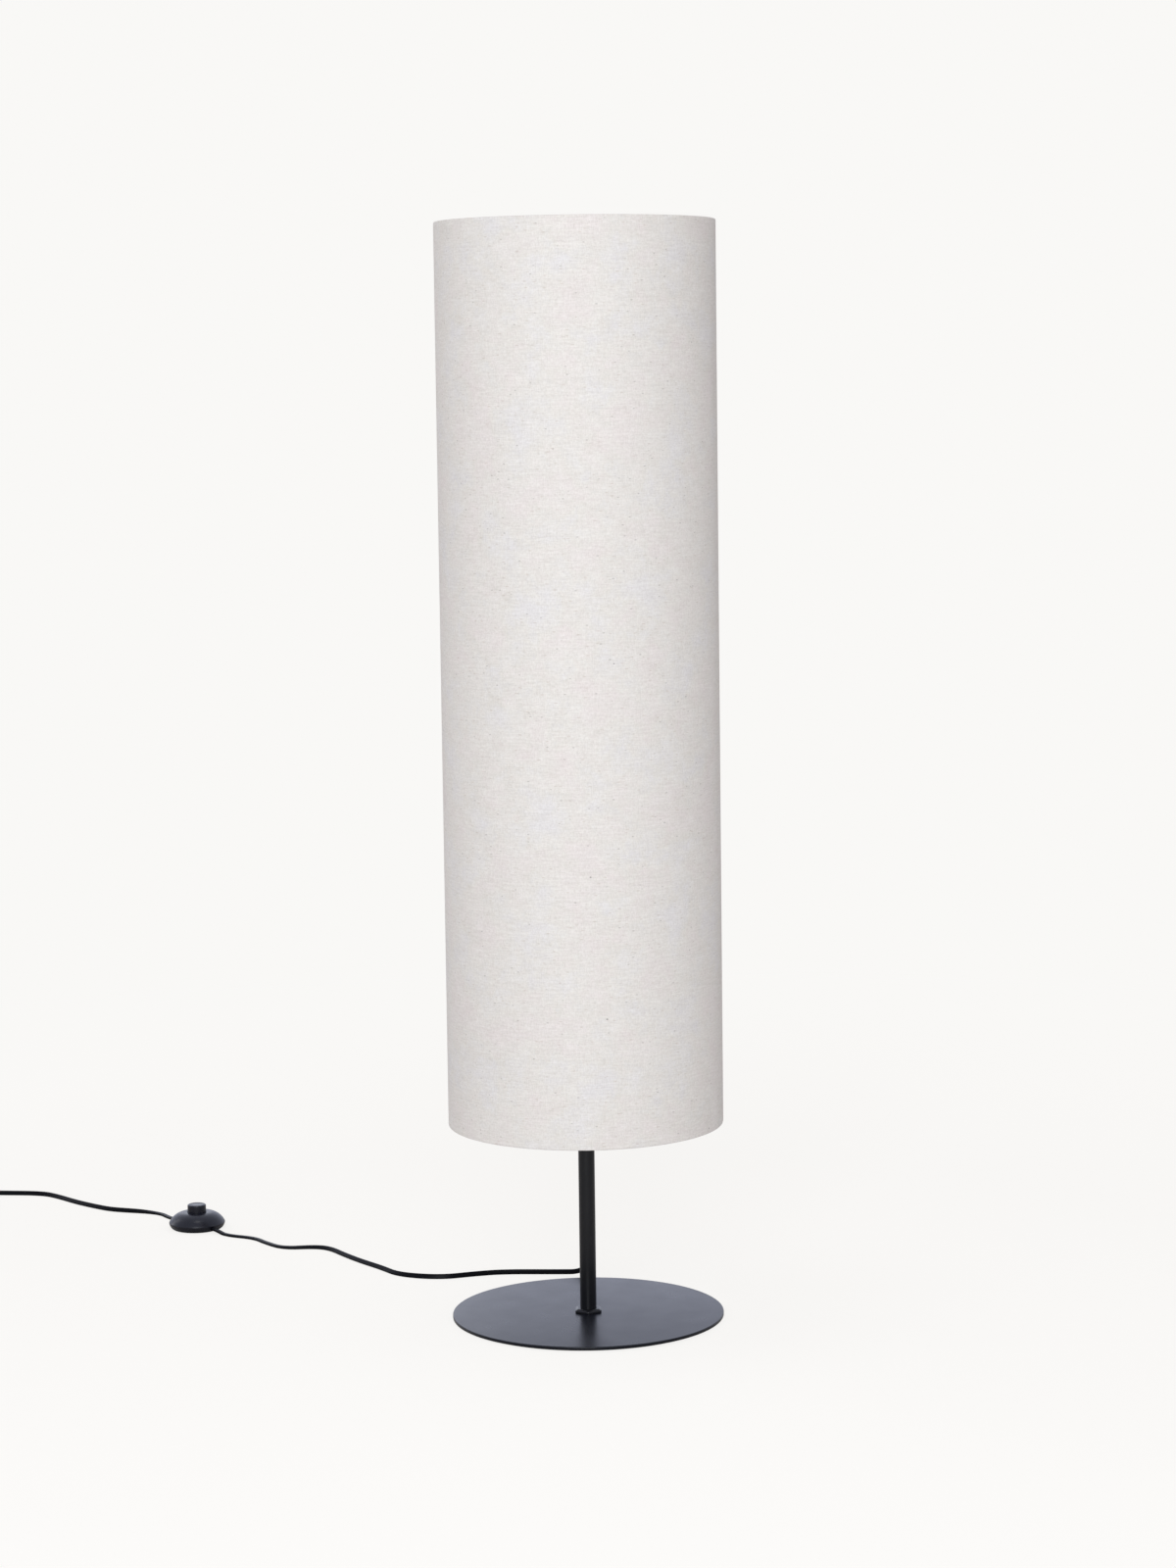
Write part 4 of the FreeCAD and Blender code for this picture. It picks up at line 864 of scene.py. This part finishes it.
# foot switch
switchFacts = {
    "bellyRadius": 0.0285, "bellyLevel": 0.0064, "foot": 0.0243, "knee": (0.0272, 0.0026),
    "shoulder": (0.0223, 0.0137), "collar": (0.0103, 0.0168), "baseTop": 0.002, "wall": 0.0018,
    "boss": (0.004, 0.005), "buttonRadius": 0.0094, "buttonTop": 0.0246, "buttonGap": 0.0003,
    "cupTop": 0.0228, "flangeRadius": 0.011, "flangeLow": 0.0134, "flangeHigh": 0.0146,
}


def makeSwitch(centre, bellyRadius, bellyLevel, foot, knee, shoulder, collar, baseTop, wall, boss,
               buttonRadius, buttonTop, buttonGap, cupTop, flangeRadius, flangeLow, flangeHigh):
    # the body's outline is two arcs, foot to belly and belly to collar; the cover is that outline
    # from the base up, set in by a wall for its inside; the base is what lies below
    belly = (bellyRadius, bellyLevel)
    lower = arcThrough((foot, 0), knee, belly, 25)
    upper = arcThrough(belly, shoulder, collar, 48)
    top = baseTop
    cut = np.array([np.interp(top + 0.0001, lower[:, 1], lower[:, 0]), top + 0.0001])
    shell = np.vstack([[cut - (0.00035, 0), cut + (0, 0.00015)],
                       lower[lower[:, 1] > top + 0.0004], upper[1:]])
    hole = buttonRadius + buttonGap
    lip = rounded([(collar[0], collar[1], 0), (hole + 0.0001, collar[1] + 0.00002, 0.0001),
                   (hole, collar[1] - wall, 0)], False, 3)[1:]
    whole = np.vstack([lower, upper[1:]])
    inner = whole - normals(whole) * wall
    inner = inner[(inner[:, 1] > top) & (inner[:, 0] > hole)][::-1]
    outline = np.vstack([shell, lip, inner, [[inner[-1, 0], top + 0.0001]], shell[:1]])
    newPiece("switchCover", "lamp", turned(outline, 144, centre), switchPlastic, ["switch_cover"])
    below = lower[lower[:, 1] < top - 0.0003]
    seat = np.interp(top, lower[:, 1], lower[:, 0])
    bossRadius, bossTop = boss
    outline = np.vstack([[[0, 0]], [[foot - 0.0005, 0]], below[1:], [[seat - 0.0001, top - 0.0002]],
                         [[seat - 0.0004, top], [bossRadius + 0.0001, top],
                          [bossRadius, bossTop], [0, bossTop]]])
    newPiece("switchBase", "lamp", turned(outline, 144, centre), switchPlastic, ["switch_base"])
    # the button is a cup with a soft shoulder, a faint hollow in its top and a flange inside the cover
    radius, crown = buttonRadius, buttonTop
    outline = rounded([(0, crown - 0.0003, 0), (radius * 0.72, crown - 0.0003, 0.001),
                       (radius * 0.8, crown, 0.0007),
                       (radius, crown - 0.0001, 0.0012), (radius, flangeHigh, 0),
                       (flangeRadius, flangeHigh, 0.0002),
                       (flangeRadius, flangeLow, 0.0002),
                       (radius - wall, flangeLow, 0),
                       (radius - wall, cupTop, 0), (0, cupTop, 0)], False, 8)
    newPiece("switchButton", "button", turned(outline, 96, centre), switchPlastic, ["switch_button"])


makeSwitch(switchPlace, **switchFacts)
print("stage: foot switch made")


# plug and strap
plugFacts = {
    "middle": -0.724, "axis": 0.00685, "fullness": 5.0,
    "front": 0.336, "waist": 0.352, "back": 0.372, "tailEnd": 0.400,
    "faceWide": 0.0353, "faceThick": 0.0137, "waistWide": 0.0323, "backWide": 0.013, "backThick": 0.011,
    "grips": (0.3565, 0.3605, 0.3645), "gripDepth": 0.0012, "gripWide": 0.0009,
    "rootDepth": 0.003, "rootRadius": 0.0046,
    "taper": (0.0044, 0.0032, 7, 0.8, 0.2, 0.9),     # radii, grooves, their lag, land and last place
    "pinApart": 0.0186, "pinCore": 0.0014, "pinRadius": 0.002,
    "pinStart": 0.345, "pinEnd": 0.317, "sleeveEnd": 0.326,
}


def makePlug(middle, axis, fullness, front, waist, back, tailEnd, faceWide, faceThick, waistWide, backWide,
             backThick, grips, gripDepth, gripWide, rootDepth, rootRadius, taper, pinApart, pinCore,
             pinRadius, pinStart, pinEnd, sleeveEnd):
    # cross-section = rounded rectangle as a high power of an oval; its width and thickness run from
    # the face over the waist to the tail, with three grip grooves across the broad sides
    station = np.concatenate([[0, 0, 0.02, 0.05], np.linspace(0.09, 1, 46)])
    y = front + (back - front) * station
    places = [front, waist, back]
    wide = np.interp(y, places, [faceWide, waistWide, backWide])
    thick = np.interp(y, places, [faceThick, faceThick, backThick])
    lead = np.array([0, 0.93, 0.975, 0.995] + [1.0] * (len(y) - 4))
    grip = sum(np.exp(-((y - at) / gripWide) ** 2) for at in grips)
    turn = aroundTurn(72)[None]
    x, z = fullOval(turn, fullness)
    x = x * (wide * lead)[:, None] / 2
    z = z * ((thick - gripDepth * grip) * lead)[:, None] / 2
    grid = np.stack([middle + x, y[:, None] + 0 * x, axis + z], -1)
    tail = np.linspace(0, 1, 61)
    radius = groovedTaper(tail, *taper)
    length = back + (tailEnd - back) * tail
    root = back - rootDepth
    outline = np.vstack([[[0, root], [rootRadius, root]],
                         np.column_stack([radius, length]), [[0, tailEnd]]])
    tailGrid = alongY(turned(outline, 48), (middle, axis))
    close = np.repeat(np.array([[[middle, back, axis]]]), 73, 1)
    grids = [np.concatenate([grid, close]), tailGrid]
    newPiece("plugBody", "lamp", grids, plugPlastic, ["plug_body"])
    pins, sleeves = [], []
    for side in (-1, 1):
        centre = (middle + side * pinApart / 2, axis)
        pin = rounded([(0, pinStart, 0), (pinCore, pinStart, 0),
                       (pinCore, sleeveEnd, 0),
                       (pinRadius, sleeveEnd, 0.0002), (pinRadius, pinEnd, 0.0012),
                       (0, pinEnd, 0)], False, 8)
        pins.append(alongY(turned(pin, 40), centre))
        sleeve = rounded([(pinCore, front, 0), (pinRadius, front, 0),
                          (pinRadius, sleeveEnd, 0.0002),
                          (pinCore, sleeveEnd, 0)])
        sleeves.append(alongY(turned(sleeve, 40), centre))
    newPiece("plugPins", "lamp", pins, nickelPin, ["plug_pins"])
    newPiece("pinSleeves", "lamp", sleeves, sleevePlastic, ["pin_sleeves"])


strapFacts = {"x": -0.687, "wide": 0.005, "thick": 0.0008, "near": 0.4699, "far": 0.4494,
              "low": 0.0004, "high": 0.0122, "corner": 0.0018}


def makeStrap(x, wide, thick, near, far, low, high, corner):
    # a flat band round the coil's turns: its middle line is a rounded rectangle in the upright plane
    loop = rounded([(near, low, corner), (near, high, corner),
                    (far, high, corner), (far, low, corner)],
                   steps=7)
    across = wide / 2 * np.array([-1, -0.9, 0.9, 1, 1, 0.9, -0.9, -1, -1])
    proud = thick / 2 * np.array([0.5, 1, 1, 0.5, -0.5, -1, -1, -0.5, 0.5])
    points = loop[:, None] + normals(loop, True)[:, None] * proud[None, :, None]
    grid = np.stack([x + across + 0 * points[..., 0], points[..., 0], points[..., 1]], -1)
    newPiece("coilStrap", "lamp", grid, strapCloth, ["cord_tie"])


makePlug(**plugFacts)
makeStrap(**strapFacts)
print("stage: plug and strap made")


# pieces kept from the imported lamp
keptFinishes = [
    (zincSteel, "base_screw pole_coupler pole_nipple holder_grub_screw ring_washer switch_screws"),
    (brightBrass, "terminal_screws screw_shell centre_contact side_contact bulb_contact"),
    (brightBrass, "switch_terminals contact_blades contact_ring"),
    (whiteCoat, "shade_top_ring shade_bottom_ring"), (springSteel, "switch_spring"),
    (corePlastic, "holder_core"), (glassSeal, "bulb_insulator"), (boardCoat, "led_board"),
]
for material, nodes in keptFinishes:
    for node in nodes.split():
        for place in cadNodes[node].material_slots:
            place.material = material

# floor, backdrop and light
studioFacts = {
    "backdrop": (0.947, 0.939, 0.922),
    "floorWeight": 0.26,    # of the lit part near the object
    "floorLift": 1.13,      # of the glow there, to make up for it
    "nearTo": 0.7, "farFrom": 1.9,      # from the pole
    "fill": (0.474, 0.453, 0.454),      # what the surroundings send to rough surfaces
    "gloss": (1.05, 1.11, 1.34),        # and what shows in polished ones
}


def makeStudio(backdrop, floorWeight, floorLift, nearTo, farFrom, fill, gloss):
    # floor = a large plane; to the camera it is a plain glow with a share of lit surface near the pole,
    # which keeps the shadows; share = a straight fall with the distance from the pole
    # world = a plain colour each for rough surfaces, for polished ones and for the camera
    side = 14.0             # half the floor's width
    mesh = bpy.data.meshes.new("floor")
    corners = [(-side, -side, 0), (side, -side, 0), (side, side, 0), (-side, side, 0)]
    mesh.from_pydata(corners, [], [(0, 1, 2, 3)])
    floor = bpy.data.objects.new("floor", mesh)
    scene.collection.objects.link(floor)
    finish = Finish("studioFloor", Roughness=0.9, Specular_IOR_Level=0.0)
    finish.shader.inputs["Base Color"].default_value = (0.86, 0.855, 0.845, 1)
    seen = finish.node("ShaderNodeLightPath", {}, {}, "Is Camera Ray")
    away = finish.node("ShaderNodeVectorMath", {"operation": "LENGTH"}, {0: finish.place()}, "Value")
    span = farFrom - nearTo
    near = ((farFrom - away) * (1 / span)).clipped()
    lifted = [c * floorLift for c in backdrop]
    glow = finish.node("ShaderNodeEmission", {}, {"Color": finish.tint(near, backdrop, lifted)})
    lit = Wire(finish, finish.shader.outputs[0])
    share = seen * (1 - near * floorWeight)
    both = finish.node("ShaderNodeMixShader", {}, {0: share, 1: lit, 2: glow})
    output = next(n for n in finish.tree.nodes if n.type == "OUTPUT_MATERIAL")
    finish.tree.links.new(both.socket, output.inputs["Surface"])
    mesh.materials.append(finish.material)

    world = bpy.data.worlds.new("studio")
    scene.world = world
    world.use_nodes = True
    tree = world.node_tree
    back = next(n for n in tree.nodes if n.type == "BACKGROUND")
    path = tree.nodes.new("ShaderNodeLightPath")
    steps = []
    for ray, colour in (("Is Glossy Ray", gloss), ("Is Camera Ray", backdrop)):
        step = tree.nodes.new("ShaderNodeMix")
        step.data_type = "RGBA"
        tree.links.new(path.outputs[ray], step.inputs[0])
        step.inputs[6].default_value = (*fill, 1)
        step.inputs[7].default_value = (*colour, 1)
        steps.append(step)
    tree.links.new(steps[0].outputs[2], steps[1].inputs[6])
    tree.links.new(steps[1].outputs[2], back.inputs["Color"])


lightFacts = [
    # name, place, looks at, width, height, watts, colour
    ("keyPanel", (-0.25, -3.6, 1.5), (0, 0, 0.6), 1.6, 2.2, 80, (0.95, 0.985, 1.0)),
    ("leftPanel", (-2.6, 1.6, 1.2), (0, 0, 0.6), 0.5, 2.2, 8, (1.0, 0.98, 0.98)),
    ("topPanel", (-0.25, -0.15, 3.0), (-0.25, -0.1, 0), 0.45, 0.45, 5, (1.0, 1.0, 1.0)),
    ("leftCard", (-0.95, 4.3, 1.3), (0, 0, 0), 1.2, 1.4, 3, (0.95, 0.98, 1.0)),     # shows in polish only
]


def makeLights(facts):
    for name, place, target, wide, tall, watts, colour in facts:
        data = bpy.data.lights.new(name, "AREA")
        data.shape, data.size, data.size_y = "RECTANGLE", wide, tall
        data.energy, data.color = watts, colour
        light = bpy.data.objects.new(name, data)
        scene.collection.objects.link(light)
        light.location = place
        light.visible_camera = False
        light.visible_diffuse = not name.endswith("Card")
        back = Vector(place) - Vector(target)
        light.rotation_mode = "QUATERNION"
        light.rotation_quaternion = back.to_track_quat("Z", "Y")


makeStudio(**studioFacts)
makeLights(lightFacts)
print("stage: studio lit")
